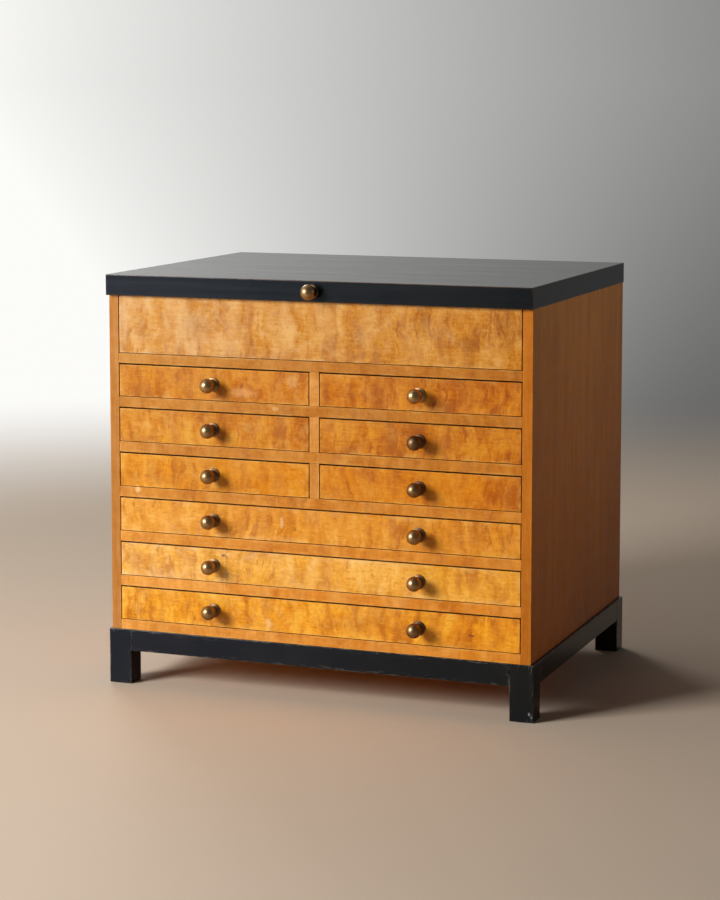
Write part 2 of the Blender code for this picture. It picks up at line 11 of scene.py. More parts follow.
import bpy
import numpy as np
from bpy.props import FloatProperty, FloatVectorProperty, IntProperty, PointerProperty
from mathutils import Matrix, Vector


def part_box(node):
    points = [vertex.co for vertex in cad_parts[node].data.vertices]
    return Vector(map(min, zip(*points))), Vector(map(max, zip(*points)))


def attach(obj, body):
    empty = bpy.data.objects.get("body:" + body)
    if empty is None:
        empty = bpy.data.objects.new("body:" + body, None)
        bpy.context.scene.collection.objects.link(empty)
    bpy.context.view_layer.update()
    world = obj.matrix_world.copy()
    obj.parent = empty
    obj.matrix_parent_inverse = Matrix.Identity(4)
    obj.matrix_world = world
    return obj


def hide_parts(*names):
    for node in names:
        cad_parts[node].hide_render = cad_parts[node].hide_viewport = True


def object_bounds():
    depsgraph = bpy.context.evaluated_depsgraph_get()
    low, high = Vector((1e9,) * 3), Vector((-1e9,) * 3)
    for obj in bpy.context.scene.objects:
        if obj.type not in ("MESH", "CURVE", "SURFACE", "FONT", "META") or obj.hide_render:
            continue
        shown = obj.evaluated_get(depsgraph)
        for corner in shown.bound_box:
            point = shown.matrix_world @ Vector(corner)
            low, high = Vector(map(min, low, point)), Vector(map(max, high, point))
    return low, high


bl_info = {
    "name": "Gentleman's chest",
    "version": (1, 0, 0),
    "blender": (4, 5, 0),
    "location": "3D View > Sidebar > Chest",
    "description": "Boards, drawers, brass and a plain stage for a chest with a lift-up lid",
    "category": "Add Mesh",
}

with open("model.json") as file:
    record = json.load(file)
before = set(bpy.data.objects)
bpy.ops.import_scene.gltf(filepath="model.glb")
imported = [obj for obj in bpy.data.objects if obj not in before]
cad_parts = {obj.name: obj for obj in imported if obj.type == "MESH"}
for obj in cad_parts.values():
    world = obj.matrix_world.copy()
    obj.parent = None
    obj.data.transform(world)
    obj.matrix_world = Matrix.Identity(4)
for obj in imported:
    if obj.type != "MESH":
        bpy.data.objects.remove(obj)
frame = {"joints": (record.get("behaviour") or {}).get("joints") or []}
CAD_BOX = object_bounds()
LID_AXIS = next(joint["pos_m"] for joint in frame["joints"] if joint["name"] == "lid_hinge")
SIDES = ("left", "right")
PAIRED_DRAWERS = [f"drawer_{row}_{side}" for row in (1, 2, 3) for side in SIDES]
WIDE_DRAWERS = [f"drawer_{row}" for row in (4, 5, 6)]
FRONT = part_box("side_left")[0].y
WIDTH = 2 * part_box("side_right")[1].x
X, Y, Z = 0, 1, 2
# Kind, place in X and Z, half width, half height and strength of each mark on the front
MARKS = (
    ("stain", -0.1932, 0.2776, 0.0062, 0.0030, 0.95),
    ("stain", -0.1865, 0.2735, 0.0026, 0.0036, 0.35),
    ("stain", -0.0411, 0.3396, 0.0034, 0.0046, 0.50),
    ("stain", 0.3494, 0.3683, 0.0036, 0.0072, 0.40),
    ("stain", 0.3218, 0.1586, 0.0076, 0.0028, 0.75),
    ("stain", 0.3222, 0.1640, 0.0016, 0.0030, 0.45),
    ("stain", 0.0742, 0.4797, 0.0040, 0.0016, 0.50),
    ("scuff", -0.0687, 0.3515, 0.0046, 0.0130, 0.45),
    ("scuff", -0.1922, 0.2560, 0.0016, 0.0560, 0.28),
    ("scuff", -0.3805, 0.3989, 0.0060, 0.0085, 0.60),
    ("scuff", -0.0982, 0.1486, 0.0080, 0.0120, 0.45),
    ("scuff", -0.1506, 0.6031, 0.0300, 0.0120, 0.22),
    ("scuff", -0.0459, 0.6297, 0.0140, 0.0150, 0.22),
    ("scuff", -0.0820, 0.5749, 0.0080, 0.0050, 0.30),
    ("scuff", 0.1696, 0.2750, 0.0022, 0.0200, 0.30),
    ("stain", -0.2600, 0.7330, 0.0300, 0.0340, 0.20),
    ("stain", 0.2270, 0.7566, 0.0150, 0.0340, 0.26),
    ("stain", 0.3900, 0.7436, 0.0240, 0.0480, 0.26),
    ("stain", 0.3139, 0.7160, 0.0300, 0.0160, 0.24),
)
FOOT_MARKS = (
    ("scuff", 0.4380, 0.0170, 0.0028, 0.0036, 0.55),
    ("scuff", 0.4425, 0.0110, 0.0020, 0.0030, 0.45),
)
# How a board looks where nothing else is said: its tint, worn polish, grime and painted shade in its gaps,
# and strength of figure
PLAIN_LOOK = {"tint": (1, 1, 1), "worn": 0.3, "grime": 0.0, "figured": 1.0}
# How much more, or less, a knob is rubbed than the others
KNOB_POLISH = {
    "drawer_1_left_knob": 0.15, "drawer_1_right_knob": 0.35, "drawer_2_right_knob": -0.30,
    "drawer_3_right_knob": -0.20, "drawer_5_knob_left": 0.15, "drawer_6_knob_left": 0.05,
    "drawer_6_knob_right": -0.15,
}
# Tint, whose darker upper rows are painted shade besides each row's own tone, grime with painted shade in the
# gaps, and the figure and the wear from the left end to the right one, for each row of drawers
ROW_LOOKS = {
    "1": ((0.74, 0.62, 0.16), 0.85, (1.1, 1.5), (0.50, 0.20)),
    "2": ((0.76, 0.67, 0.24), 0.40, (1.2, 1.6), (0.50, 0.20)),
    "3": ((0.87, 0.78, 0.16), 1.0, (0.85, 1.0), (0.50, 0.20)),
    "4": ((0.98, 1.04, 1.10), 0.40, (0.9, 0.85), (0.22, 0.20)),
    "5": ((1.12, 1.40, 2.20), 0.5, (1.0, 0.75), (0.50, 0.20)),
    "6": ((1.08, 1.13, 0.55), 0.85, (1.35, 1.1), (0.50, 0.20)),
}
# Shade of each board between the drawers, darker towards the top as painted shade, and its wear, and the tint
# that they share
RAILS = {
    "bottom_board": (1.16, 0.55), "shelf_5": (1.18, 0.55), "shelf_4": (1.10, 0.35), "shelf_3": (0.98, 0.35),
    "shelf_2": (0.88, 0.35), "shelf_1": (0.82, 0.35), "well_floor": (0.79, 0.35),
}
RAIL_TINT = (1.0, 0.92, 0.58)
BASE_TINT = (0.92, 1.0, 1.15)
# Painted light on a side's face: colour shares at its foot, half way up and at its top, browner below as
# painted shade and greyer above as a painted reflection, and the depth where they begin
SIDE_PAINTED_LIGHT = ((0.92, 0.76, 0.20), (0.97, 0.93, 0.80), (0.97, 1.14, 2.30))
FRONT_EDGE = 0.0005
ARC_STEPS = 3
HINGE_STEPS = 32
# Edges that turn by more than this stay sharp
SHARP = math.radians(32)
# How far a cutter reaches past the wood
PAST = 0.002


def metres(name, description, default):
    """A size in metres."""
    return FloatProperty(name=name, description=description, default=default, unit="LENGTH", precision=5)


def tone(name, description, default):
    """A colour in linear light."""
    return FloatVectorProperty(
        name=name, description=description, default=default, subtype="COLOR", size=3, min=0, max=1
    )


class ChestSizes(bpy.types.PropertyGroup):
    """Sizes that the solids don't carry, or carry inside one node."""

    fit: metres("Fit", "Gap between pieces that touch", 0.0003)
    carcass_arris: metres("Carcass arris", "Eased edge of sides, rails and dividers", 0.0006)
    front_arris: metres("Front arris", "Eased edge of drawer fronts and the blind panel", 0.0008)
    lid_arris: metres("Lid arris", "Eased edge of the lid", 0.0020)
    base_arris: metres("Base arris", "Eased edge of feet and aprons", 0.0016)
    tray_arris: metres("Tray arris", "Eased edge of the boards inside a drawer", 0.0007)
    grid_pitch: metres("Grid pitch", "Spacing of the grid lines on a board", 0.025)
    panel_gap: metres("Panel gap", "Gap at each end of the blind panel", 0.0020)
    tray_side: metres("Tray side", "Thickness of a drawer side", 0.010)
    tray_back: metres("Tray back", "Thickness of a drawer back", 0.009)
    tray_back_drop: metres("Back drop", "How much lower a drawer back stands than the sides", 0.004)
    tray_back_inset: metres("Back inset", "How far the sides run on behind the back", 0.010)
    tray_bottom: metres("Tray bottom", "Thickness of a drawer bottom", 0.0045)
    tray_bottom_raise: metres("Bottom raise", "Height of the bottom over the sides' edge", 0.005)
    tray_bottom_tail: metres("Bottom tail", "How far the bottom runs on behind the back", 0.004)
    tails: IntProperty(name="Tails", description="Dovetails on each drawer side", default=3, min=1)
    tail_share: FloatProperty(name="Tail share", description="Share of the pitch at a tip", default=0.66)
    tail_slope: FloatProperty(name="Tail slope", description="Widening along a tail", default=1 / 6)
    ball: metres("Ball", "Diameter of a drawer knob's ball", 0.029)
    ball_reach: metres("Reach", "From a drawer knob's seat to the middle of its ball", 0.027)
    lid_ball: metres("Lid ball", "Diameter of the lid knob's ball", 0.030)
    lid_ball_reach: metres("Lid reach", "From the lid knob's seat to the middle of its ball", 0.0195)
    neck: metres("Neck", "Diameter of a knob's neck", 0.011)
    rose: metres("Rose", "Diameter of a knob's rose", 0.028)
    rose_edge: metres("Rose edge", "Thickness of the rose at its rim", 0.0025)
    stud: metres("Stud", "Length of the stud behind a knob", 0.013)
    knob_steps: IntProperty(name="Knob steps", description="Facets round a knob", default=56, min=8)
    leaf_width: metres("Leaf width", "Width of a hinge leaf on the wood", 0.017)
    leaf_thickness: metres("Leaf", "Thickness of a hinge leaf", 0.002)
    knuckle: metres("Knuckle", "Outer diameter of a hinge knuckle", 0.007)
    knuckle_bore: metres("Bore", "Bore of a hinge knuckle", 0.0042)
    pin: metres("Pin", "Diameter of a hinge pin", 0.0036)
    screw_head: metres("Screw head", "Diameter of a hinge screw's head", 0.0062)
    screw_slot: metres("Screw slot", "Width of a hinge screw's slot", 0.0009)


class ChestColours(bpy.types.PropertyGroup):
    """Colours of the woods, the stain and the brass."""

    flame_dark: tone("Flame, dark", "Shaded figure of the drawer fronts", (0.50, 0.135, 0.004))
    flame_mid: tone("Flame, middle", "Body of the drawer fronts", (0.74, 0.265, 0.012))
    flame_light: tone("Flame, light", "Bright figure of the drawer fronts", (0.90, 0.430, 0.060))
    plain_dark: tone("Plain, dark", "Dark streaks of rails and dividers", (0.45, 0.140, 0.010))
    plain_mid: tone("Plain, middle", "Body of rails and dividers", (0.60, 0.228, 0.024))
    plain_light: tone("Plain, light", "Light streaks of rails and dividers", (0.74, 0.345, 0.070))
    side_dark: tone("Side, dark", "Dark streaks of sides and back", (0.36, 0.103, 0.007))
    side_mid: tone("Side, middle", "Body of sides and back", (0.54, 0.175, 0.016))
    side_light: tone("Side, light", "Light streaks of sides and back", (0.67, 0.268, 0.047))
    bare_dark: tone("Bare, dark", "Dark streaks of the bare drawer boards", (0.46, 0.300, 0.150))
    bare_mid: tone("Bare, middle", "Body of the bare drawer boards", (0.60, 0.430, 0.250))
    bare_light: tone("Bare, light", "Light streaks of the bare drawer boards", (0.70, 0.540, 0.350))
    worn_edge: tone("Worn edge", "Wood where the polish is rubbed off", (0.88, 0.560, 0.210))
    # Grime also paints shade in the gaps, and colours dark specks
    grime: tone("Grime", "Old polish and dust in the gaps", (0.044, 0.007, 0.004))
    dust: tone("Dust", "Pale dust in the gaps", (0.260, 0.130, 0.070))
    stain: tone("Stain", "Small dark stains on the fronts", (0.150, 0.035, 0.010))
    scuff: tone("Scuff", "Small pale scuffs on the fronts", (0.950, 0.640, 0.300))
    black: tone("Black", "Stained lid and base", (0.0040, 0.0054, 0.0080))
    black_light: tone("Black, light", "Thin places in the stain", (0.0085, 0.0090, 0.0105))
    black_worn: tone("Black, worn", "Wood that shows at the stain's worn edges", (0.210, 0.092, 0.038))
    # Partly a painted highlight along the base's arrises
    black_scuff_and_highlight: tone("Black, scuffed", "Worn edges and scuffs of the base", (0.200, 0.195, 0.185))
    foot_chip: tone("Foot chip", "Chip in the stain of a foot", (0.420, 0.430, 0.430))
    brass: tone("Brass", "Rubbed brass", (0.420, 0.260, 0.115))
    patina: tone("Patina", "Brown patina on the brass", (0.100, 0.050, 0.026))
    floor: tone("Floor", "Plain floor", (0.700, 0.560, 0.430))
    backdrop: tone("Backdrop", "Plain backdrop on the key lamp's side", (0.880, 0.875, 0.855))


def seeded(name):
    """Random numbers that a piece's name fixes."""
    return np.random.default_rng(zlib.crc32(name.encode()))


def grid_quads(ids):
    """Quads between the neighbours of a two-way table of point numbers."""
    corners = (ids[:-1, :-1], ids[1:, :-1], ids[1:, 1:], ids[:-1, 1:])
    return np.stack(corners, -1).reshape(-1, 4)


def grid_lines(length, radius, pitch):
    """Places of the grid lines along one side of a board, from its middle.

    Each end has lines at radius * (1 - tan a) for angles a from 45 to 0 degrees, which an arc of that radius
    spaces evenly. One more line lies just inside them, and the rest divides the length evenly.
    """
    angles = np.radians(np.linspace(45, 0, ARC_STEPS + 1))
    arc = radius * (1 - np.tan(angles))
    inner = 1.5 * radius
    spans = 2 * max(1, round((length - 2 * inner) / (2 * pitch)))
    middle = np.linspace(inner, length - inner, spans + 1)
    return np.concatenate((arc, middle, length - arc[::-1])) - length / 2


def wandering(points, name, amount):
    """A share between 1 - amount and 1 at each point: a sum of sine waves in random directions."""
    draw = seeded(name)
    waves = draw.normal(size=(6, 3)) * draw.uniform(8, 45, (6, 1))
    phases = draw.uniform(0, 2 * math.pi, 6)
    sums = np.sin(points @ waves.T * 2 * math.pi + phases).sum(1)
    return 1 - amount * (0.5 + 0.5 * np.tanh(sums))


def board_shape(name, low, high, radius, pitch, wear=0.55):
    """Points and quads of a board whose edges are eased and worn.

    A grid point p on the box moves to q + r (p - q) / |p - q|, where q is p pulled into the box shrunk by r.
    The faces stay flat, and edges and corners become arcs of the radius r, which wanders from place to place.
    """
    low = np.asarray(low, float)
    high = np.asarray(high, float)
    size = high - low
    radius = min(radius, 0.2 * size.min())
    lines = [grid_lines(length, radius, pitch) for length in size]
    counts = [len(line) for line in lines]
    ids = np.arange(np.prod(counts)).reshape(counts)
    quads = []
    for axis in (X, Y, Z):
        for end in (0, -1):
            sheet = grid_quads(np.take(ids, end, axis))
            outward = (end == -1) != (axis == Y)
            quads.append(sheet if outward else sheet[:, ::-1])
    used, quads = np.unique(np.concatenate(quads), return_inverse=True)
    places = np.unravel_index(used, counts)
    points = np.stack([line[place] for line, place in zip(lines, places)], -1)
    worn = radius * wandering(points + (low + high) / 2, name, wear)[:, None]
    inside = np.clip(points, worn - size / 2, size / 2 - worn)
    outward = points - inside
    points = inside + worn * outward / np.linalg.norm(outward, axis=1, keepdims=True)
    return points + (low + high) / 2, quads.reshape(-1, 4).tolist()


def prism_shape(outline, start, end):
    """An outline in Y and Z, listed anticlockwise as seen from +X, carried along X from start to end."""
    outline = np.asarray(outline, float)
    count = len(outline)
    points = np.concatenate([np.column_stack((np.full(count, x), outline)) for x in (start, end)])
    ring = np.arange(count)
    after = np.roll(ring, -1)
    walls = np.stack((ring, after, after + count, ring + count), -1)
    caps = [ring[::-1].tolist(), (ring + count).tolist()]
    return points, walls.tolist() + caps


def round_points(radius, height, steps):
    """Rings of points at radius * (cos t, sin t) and a height, for even steps of the angle t."""
    turns = np.linspace(0, 2 * math.pi, steps, endpoint=False)
    x = np.outer(radius, np.cos(turns))
    y = np.outer(radius, np.sin(turns))
    return np.stack((x, y, np.outer(height, np.ones(steps))), -1).reshape(-1, 3)


def ring_ids(rings, steps):
    """Point numbers of rings, each closed by its first point."""
    return np.pad(np.arange(rings * steps).reshape(rings, steps), ((0, 0), (0, 1)), mode="wrap")


def turned_shape(profile, steps):
    """A profile of radius and height, from the top down, carried round +Z, with a point at each end."""
    profile = np.asarray(profile, float)
    radius, height = profile[1:-1].T
    ends = [(0, 0, profile[0, 1]), (0, 0, profile[-1, 1])]
    points = np.concatenate((round_points(radius, height, steps), ends))
    ids = ring_ids(len(radius), steps)
    top = np.stack((np.full(steps, ids.max() + 1), ids[0, :-1], ids[0, 1:]), -1)
    foot = np.stack((ids[-1, 1:], ids[-1, :-1], np.full(steps, ids.max() + 2)), -1)
    return points, grid_quads(ids).tolist() + top.tolist() + foot.tolist()


def ring_shape(profile, steps):
    """A closed profile of radius and height, listed down its outer side, carried round +Z."""
    radius, height = np.asarray(profile, float).T
    ids = ring_ids(len(radius), steps)
    return round_points(radius, height, steps), grid_quads(np.vstack((ids, ids[0]))).tolist()


def joined(shapes):
    """Several shapes as one."""
    points = []
    faces = []
    count = 0
    for shape_points, shape_faces in shapes:
        points.append(shape_points)
        faces += [[corner + count for corner in face] for face in shape_faces]
        count += len(shape_points)
    return np.concatenate(points), faces


def mesh_of(name, shape):
    """A mesh from points and faces."""
    points, faces = shape
    mesh = bpy.data.meshes.new(name)
    mesh.from_pydata(points.tolist(), [], faces)
    return mesh


def combined(mesh, shape, operation="DIFFERENCE"):
    """The mesh with a closed shape cut out of it or joined on."""
    blank = bpy.data.objects.new("blank", mesh)
    tool = bpy.data.objects.new("tool", mesh_of("tool", shape))
    for thing in (blank, tool):
        bpy.context.scene.collection.objects.link(thing)
    boolean = blank.modifiers.new("joint", "BOOLEAN")
    boolean.operation = operation
    boolean.object = tool
    boolean.solver = "EXACT"
    graph = bpy.context.evaluated_depsgraph_get()
    made = bpy.data.meshes.new_from_object(blank.evaluated_get(graph))
    for thing in (blank, tool):
        bpy.data.objects.remove(thing)
    return made


def box_shape(low, high):
    """A plain block, to cut with."""
    (x0, y0, z0), (x1, y1, z1) = low, high
    return prism_shape([(y0, z0), (y1, z0), (y1, z1), (y0, z1)], x0, x1)


def piece(name, mesh, body, slot, *nodes):
    """A finished piece: smooth but for its sharp edges, riding on its body in place of its nodes."""
    mesh.polygons.foreach_set("use_smooth", np.ones(len(mesh.polygons), bool))
    mesh.set_sharp_from_angle(angle=SHARP)
    made = bpy.data.objects.new(name, mesh)
    bpy.context.scene.collection.objects.link(made)
    made.data.materials.clear()
    made.data.materials.append(bpy.data.materials[f"chest_{slot}"])
    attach(made, body)
    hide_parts(*nodes)


def point_coordinates(mesh):
    """The mesh's points as an array."""
    flat = np.empty(3 * len(mesh.vertices), np.float32)
    mesh.vertices.foreach_get("co", flat)
    return flat.reshape(-1, 3)


def set_attribute(mesh, name, values):
    """Numbers or vectors at the mesh's points, which its material reads by name."""
    values = np.ravel(values).astype(np.float32)
    kind, field = ("FLOAT", "value") if len(values) == len(mesh.vertices) else ("FLOAT_VECTOR", "vector")
    mesh.attributes.new(name, kind, "POINT").data.foreach_set(field, values)


def brass(name, mesh, body, rubbed, *nodes):
    """A brass piece that is rubbed alike all over, or by a value for each point."""
    set_attribute(mesh, "rubbed", np.broadcast_to(rubbed, len(mesh.vertices)))
    piece(name, mesh, body, "old_brass", *nodes)


def mark_wood(name, mesh, low, high, along, across, look):
    """Writes what the wood's material follows.

    grain is the place along the fibres, across them and into the board, moved to a part of the pattern that
    the name fixes. inset is the distance from the nearer of the two faces along X, Y and Z. The look is the
    board's own: each of its values is the same all over, or a function of the points.
    """
    points = point_coordinates(mesh)
    low = np.asarray(low, np.float32)
    high = np.asarray(high, np.float32)
    centred = points - (low + high) / 2
    into = 3 - along - across
    grain = centred[:, [along, across, into]] + seeded(name).uniform(-9, 9, 3)
    inset = np.clip((high - low) / 2 - np.abs(centred), 0, None)
    set_attribute(mesh, "grain", grain)
    set_attribute(mesh, "inset", inset)
    for key, value in {**PLAIN_LOOK, **look}.items():
        set_attribute(mesh, key, value(points) if callable(value) else np.tile(value, (len(points), 1)))


def from_left(left, right):
    """A number or a colour at each point that goes evenly from the left side's to the right one's."""
    change = np.subtract(right, left)
    return lambda points: left + np.multiply.outer(np.clip(0.5 + points[:, X] / WIDTH, 0, 1), change)


def with_painted_light(tint):
    """A tint with painted light on it: paler towards -X, the key lamp's side, and warmer towards +X, where
    less of its light falls.
    """
    return from_left(np.multiply(tint, (0.98, 1.06, 1.60)), np.multiply(tint, (1.0, 0.89, 0.55)))


def side_with_painted_light(tint, low, high):
    """A tint with painted light that turns browner towards the foot of a side's face, as painted shade, and
    greyer towards its top, as a painted reflection.
    """

    def tint_at(points):
        heights = (points[:, Z] - low.z) / (high.z - low.z)
        share = np.stack([np.interp(heights, (0, 0.5, 1), column) for column in zip(*SIDE_PAINTED_LIGHT)], -1)
        share[points[:, Y] < low.y + FRONT_EDGE] = 1
        return share * with_painted_light(tint)(points)

    return tint_at


def board(name, low, high, along, across, body, slot, node, radius, cuts=(), **look):
    """A board with its fibres along one axis, cut for its joints, in place of its node."""
    pitch = bpy.context.scene.chest_sizes.grid_pitch
    mesh = mesh_of(name, board_shape(name, low, high, radius, pitch))
    if cuts:
        mesh = combined(mesh, joined(cuts))
    mark_wood(name, mesh, low, high, along, across, look)
    piece(name, mesh, body, slot, node)


class Finish:
    """Short calls that add nodes to a material or to the world."""

    def __init__(self, tree):
        self.tree = tree
        self.shader = tree.nodes.get("Principled BSDF")

    def put(self, socket, value):
        """Links an output to a socket, or sets the socket's own value."""
        if isinstance(value, bpy.types.NodeSocket):
            self.tree.links.new(value, socket)
        elif hasattr(value, "__len__") and len(value) == 3 and socket.type == "RGBA":
            socket.default_value = (*value, 1)
        else:
            socket.default_value = value

    def surface(self, inputs):
        """Links or sets inputs of the shader."""
        for key, value in inputs.items():
            self.put(self.shader.inputs[key], value)

    def add(self, kind, inputs, **settings):
        """A node with its settings and inputs."""
        node = self.tree.nodes.new(f"ShaderNode{kind}")
        for key, value in settings.items():
            setattr(node, key, value)
        for key, value in inputs.items():
            self.put(node.inputs[key], value)
        return node

    def attribute(self, name, output="Vector"):
        """A value that the mesh carries."""
        return self.add("Attribute", {}, attribute_name=name).outputs[output]

    def place(self):
        """The place on the piece, which stays the same when the piece moves."""
        return self.add("TexCoord", {}).outputs["Object"]

    def vector(self, operation, first, second):
        """Vector arithmetic."""
        return self.add("VectorMath", {0: first, 1: second}, operation=operation).outputs["Vector"]

    def math(self, operation, first, second):
        """Arithmetic on numbers."""
        return self.add("Math", {0: first, 1: second}, operation=operation).outputs[0]

    def times(self, *factors):
        """The product of numbers."""
        return reduce(lambda first, second: self.math("MULTIPLY", first, second), factors)

    def noise(self, place, along, across, detail=3, roughness=0.6, output="Fac"):
        """Soft noise with a number of clouds per metre along the first axis and across it."""
        inputs = {
            "Vector": self.vector("MULTIPLY", place, (along, across, across)),
            "Scale": 1.0,
            "Detail": detail,
            "Roughness": roughness,
        }
        return self.add("TexNoise", inputs).outputs[output]

    def between(self, value, low, high, to_low=0.0, to_high=1.0):
        """A smooth step from one value to another."""
        inputs = {"Value": value, "From Min": low, "From Max": high, "To Min": to_low, "To Max": to_high}
        return self.add("MapRange", inputs, interpolation_type="SMOOTHSTEP").outputs["Result"]

    def blend(self, factor, first, second):
        """A mix of two colours."""
        return self.add("Mix", {0: factor, 6: first, 7: second}, data_type="RGBA").outputs[2]

    def ramp(self, value, dark, middle, light):
        """Three colours along a value from 0 to 1."""
        node = self.add("ValToRGB", {"Fac": value})
        stops = node.color_ramp.elements
        stops[0].color = (*dark, 1)
        stops[1].color = (*light, 1)
        stops.new(0.5).color = (*middle, 1)
        return node.outputs["Color"]

    def insets(self):
        """Distances from the board's faces along X, Y and Z."""
        return self.add("SeparateXYZ", {0: self.attribute("inset")}).outputs

    def edge_distance(self, insets):
        """Distance to the board's nearest edge: the middle one of the three insets."""
        low = self.math("MINIMUM", insets[X], insets[Y])
        high = self.math("MAXIMUM", insets[X], insets[Y])
        return self.math("MAXIMUM", low, self.math("MINIMUM", high, insets[Z]))

    def weighed(self, total, pattern, weight):
        """A total with a pattern added, which lies about 0.5."""
        return self.math("ADD", total, self.times(self.math("SUBTRACT", pattern, 0.5), weight))

    def bump(self, height, depth):
        """A relief of one depth in metres."""
        inputs = {"Height": height, "Strength": 1.0, "Distance": depth}
        self.surface({"Normal": self.add("Bump", inputs).outputs["Normal"]})


def new_material(name):
    """A material with a plain shader."""
    material = bpy.data.materials.new(name)
    material.use_nodes = True
    return material


def small_marks(finish, colour, marks, stain, scuff):
    """A colour with the marks on it: ragged ellipses about places on the front, in X and Z."""
    place = finish.place()
    ragged = finish.noise(place, 260, 260, 2)
    depth = finish.add("SeparateXYZ", {0: place}).outputs[Y]
    on_front = finish.between(depth, FRONT + 0.02, FRONT + 0.03, 1.0, 0.0)
    for kind, x, z, half_width, half_height, strength in marks:
        offset = finish.vector("SUBTRACT", place, (x, 0, z))
        offset = finish.vector("MULTIPLY", offset, (1 / half_width, 0, 1 / half_height))
        away = finish.add("VectorMath", {0: offset}, operation="LENGTH").outputs["Value"]
        mask = finish.between(finish.weighed(away, ragged, 1.2), 0.45, 1.15, strength, 0.0)
        colour = finish.blend(finish.times(mask, on_front), colour, stain if kind == "stain" else scuff)
    return colour


def birch(name, colours, mottle, flame, fibre, dusty, worn_width, roughness, specular):
    """Birch: clouds, mottling and fibres along the grain, flames across it, and edges rubbed pale.

    colours are dark, middle, light, worn, grime (for dark specks, and for grime with painted shade in the
    gaps), dust, stain and scuff. mottle, flame and fibre weigh the patterns. A flame darkens slowly along the
    grain and ends at a sharp wavering edge: the square of a saw wave whose places wander. It shows only in
    patches. dusty is how much dust covers the grime and painted shade in the gaps, and worn_width is how far
    the rubbing reaches in from an edge.
    """
    dark, middle, light, worn, grime, dust, stain, scuff = colours
    finish = Finish(new_material(name).node_tree)
    grain = finish.attribute("grain")
    faded = finish.attribute("worn", "Fac")
    stray = finish.vector("SUBTRACT", finish.noise(grain, 7, 12, output="Color"), (0.5, 0.5, 0.5))
    place = finish.vector("ADD", grain, finish.vector("MULTIPLY", stray, (0.045, 0.010, 0.010)))

    # Clouds, mottling and fibres
    clouds = finish.noise(place, 42, 15, 5, 0.62)
    fibres = finish.noise(place, 9, 430)
    figure = 0.5
    for pattern, weight in (
        (finish.noise(place, 11, 14, 2, 0.5), 0.9 * mottle),
        (clouds, 1.8 * mottle),
        (finish.noise(grain, 120, 150), 0.7 * mottle),
        (finish.noise(place, 18, 230), finish.between(faded, 0.3, 1.0, 0.35 * fibre, 1.3 * fibre)),
        (fibres, 0.5 * fibre),
        (finish.noise(place, 2, 38), 0.5 * fibre),
    ):
        figure = finish.weighed(figure, pattern, weight)

    # Flames
    strokes = finish.between(finish.noise(place, 85, 18), 0.53, 0.70)
    where = finish.between(finish.noise(grain, 7, 10, 2, 0.5), 0.42, 0.60, 0.0, flame)
    figure = finish.math("SUBTRACT", figure, finish.times(strokes, where))
    along = finish.add("SeparateXYZ", {0: place}).outputs[0]
    for pitch, patch, seed in ((0.058, 0.52, 3.1), (0.024, 0.57, 7.7)):
        wave = finish.math("FRACT", finish.math("DIVIDE", along, pitch), 0.0)
        edge = finish.between(wave, 0.86, 1.0, 1.0, 0.0)
        patches = finish.noise(finish.vector("ADD", grain, (seed, seed, seed)), 9, 14, 2, 0.5)
        where = finish.between(patches, patch - 0.10, patch + 0.12, 0.0, 0.7 * flame)
        figure = finish.math("SUBTRACT", figure, finish.times(finish.math("POWER", wave, 2.0), edge, where))
    strength = finish.times(finish.between(faded, 0.0, 1.0, 1.0, 0.8), finish.attribute("figured", "Fac"))
    colour = finish.ramp(finish.weighed(0.5, figure, strength), dark, middle, light)

    # Flecks and specks
    flecks = finish.noise(place, 65, 210, 3, 0.65)
    colour = finish.blend(finish.between(flecks, 0.57, 0.66, 0.0, 0.32 * mottle), colour, light)
    colour = finish.blend(finish.between(flecks, 0.43, 0.33, 0.0, 0.50 * mottle), colour, dark)
    spread = finish.vector("MULTIPLY", grain, (9, 14, 0))
    cells = finish.add("TexVoronoi", {"Vector": spread, "Scale": 1.0}).outputs
    speck = finish.between(cells["Distance"], 0.012, 0.024, min(0.7, 1.5 * flame), 0.0)
    chance = finish.add("SeparateColor", {0: cells["Color"]}).outputs[0]
    colour = finish.blend(finish.times(speck, finish.math("GREATER_THAN", chance, 0.70)), colour, grime)

    # Tint, which carries painted light, and thin and hazy polish
    tint = finish.attribute("tint")
    colour = finish.vector("MULTIPLY", colour, tint)
    worn = finish.vector("MULTIPLY", worn, finish.blend(0.5, (1.0, 1.0, 1.0), tint))
    thin = finish.blend(0.7, finish.vector("MULTIPLY", light, tint), worn)
    patches = finish.between(finish.noise(grain, 13, 17), 0.44, 0.60)
    ragged = finish.between(finish.noise(place, 48, 42, 5, 0.62), 0.44, 0.68, 0.0, 0.65 * flame)
    colour = finish.blend(finish.times(patches, ragged, finish.between(faded, 0.0, 0.5)), colour, thin)
    colour = small_marks(finish, colour, MARKS, stain, scuff)
    insets = finish.insets()
    edge = finish.edge_distance(insets)
    patches = finish.noise(place, 30, 44, 4, 0.65)
    broad = finish.noise(place, 22, 9, 6, 0.70)
    haze = finish.times(faded, finish.between(broad, 0.36, 0.70, 0.0, 0.6))
    near = finish.between(edge, 0.0, 8 * worn_width, 0.40, 0.0)
    haze = finish.math("MAXIMUM", haze, finish.times(near, finish.between(patches, 0.42, 0.66)))
    streaks = finish.between(finish.noise(grain, 160, 7, 2, 0.5), 0.66, 0.76, 0.0, 0.22)
    colour = finish.blend(finish.math("MAXIMUM", haze, streaks), colour, thin)

    # Rubbed edges
    reach = finish.between(patches, 0.35, 0.70, 0.0004, 2 * worn_width)
    rubbed = finish.between(finish.math("DIVIDE", edge, reach), 0.0, 1.0, 1.0, 0.0)
    rubbed = finish.times(rubbed, finish.between(faded, 0.2, 1.0, 0.2, 0.8))
    colour = finish.blend(rubbed, colour, finish.blend(faded, light, worn))
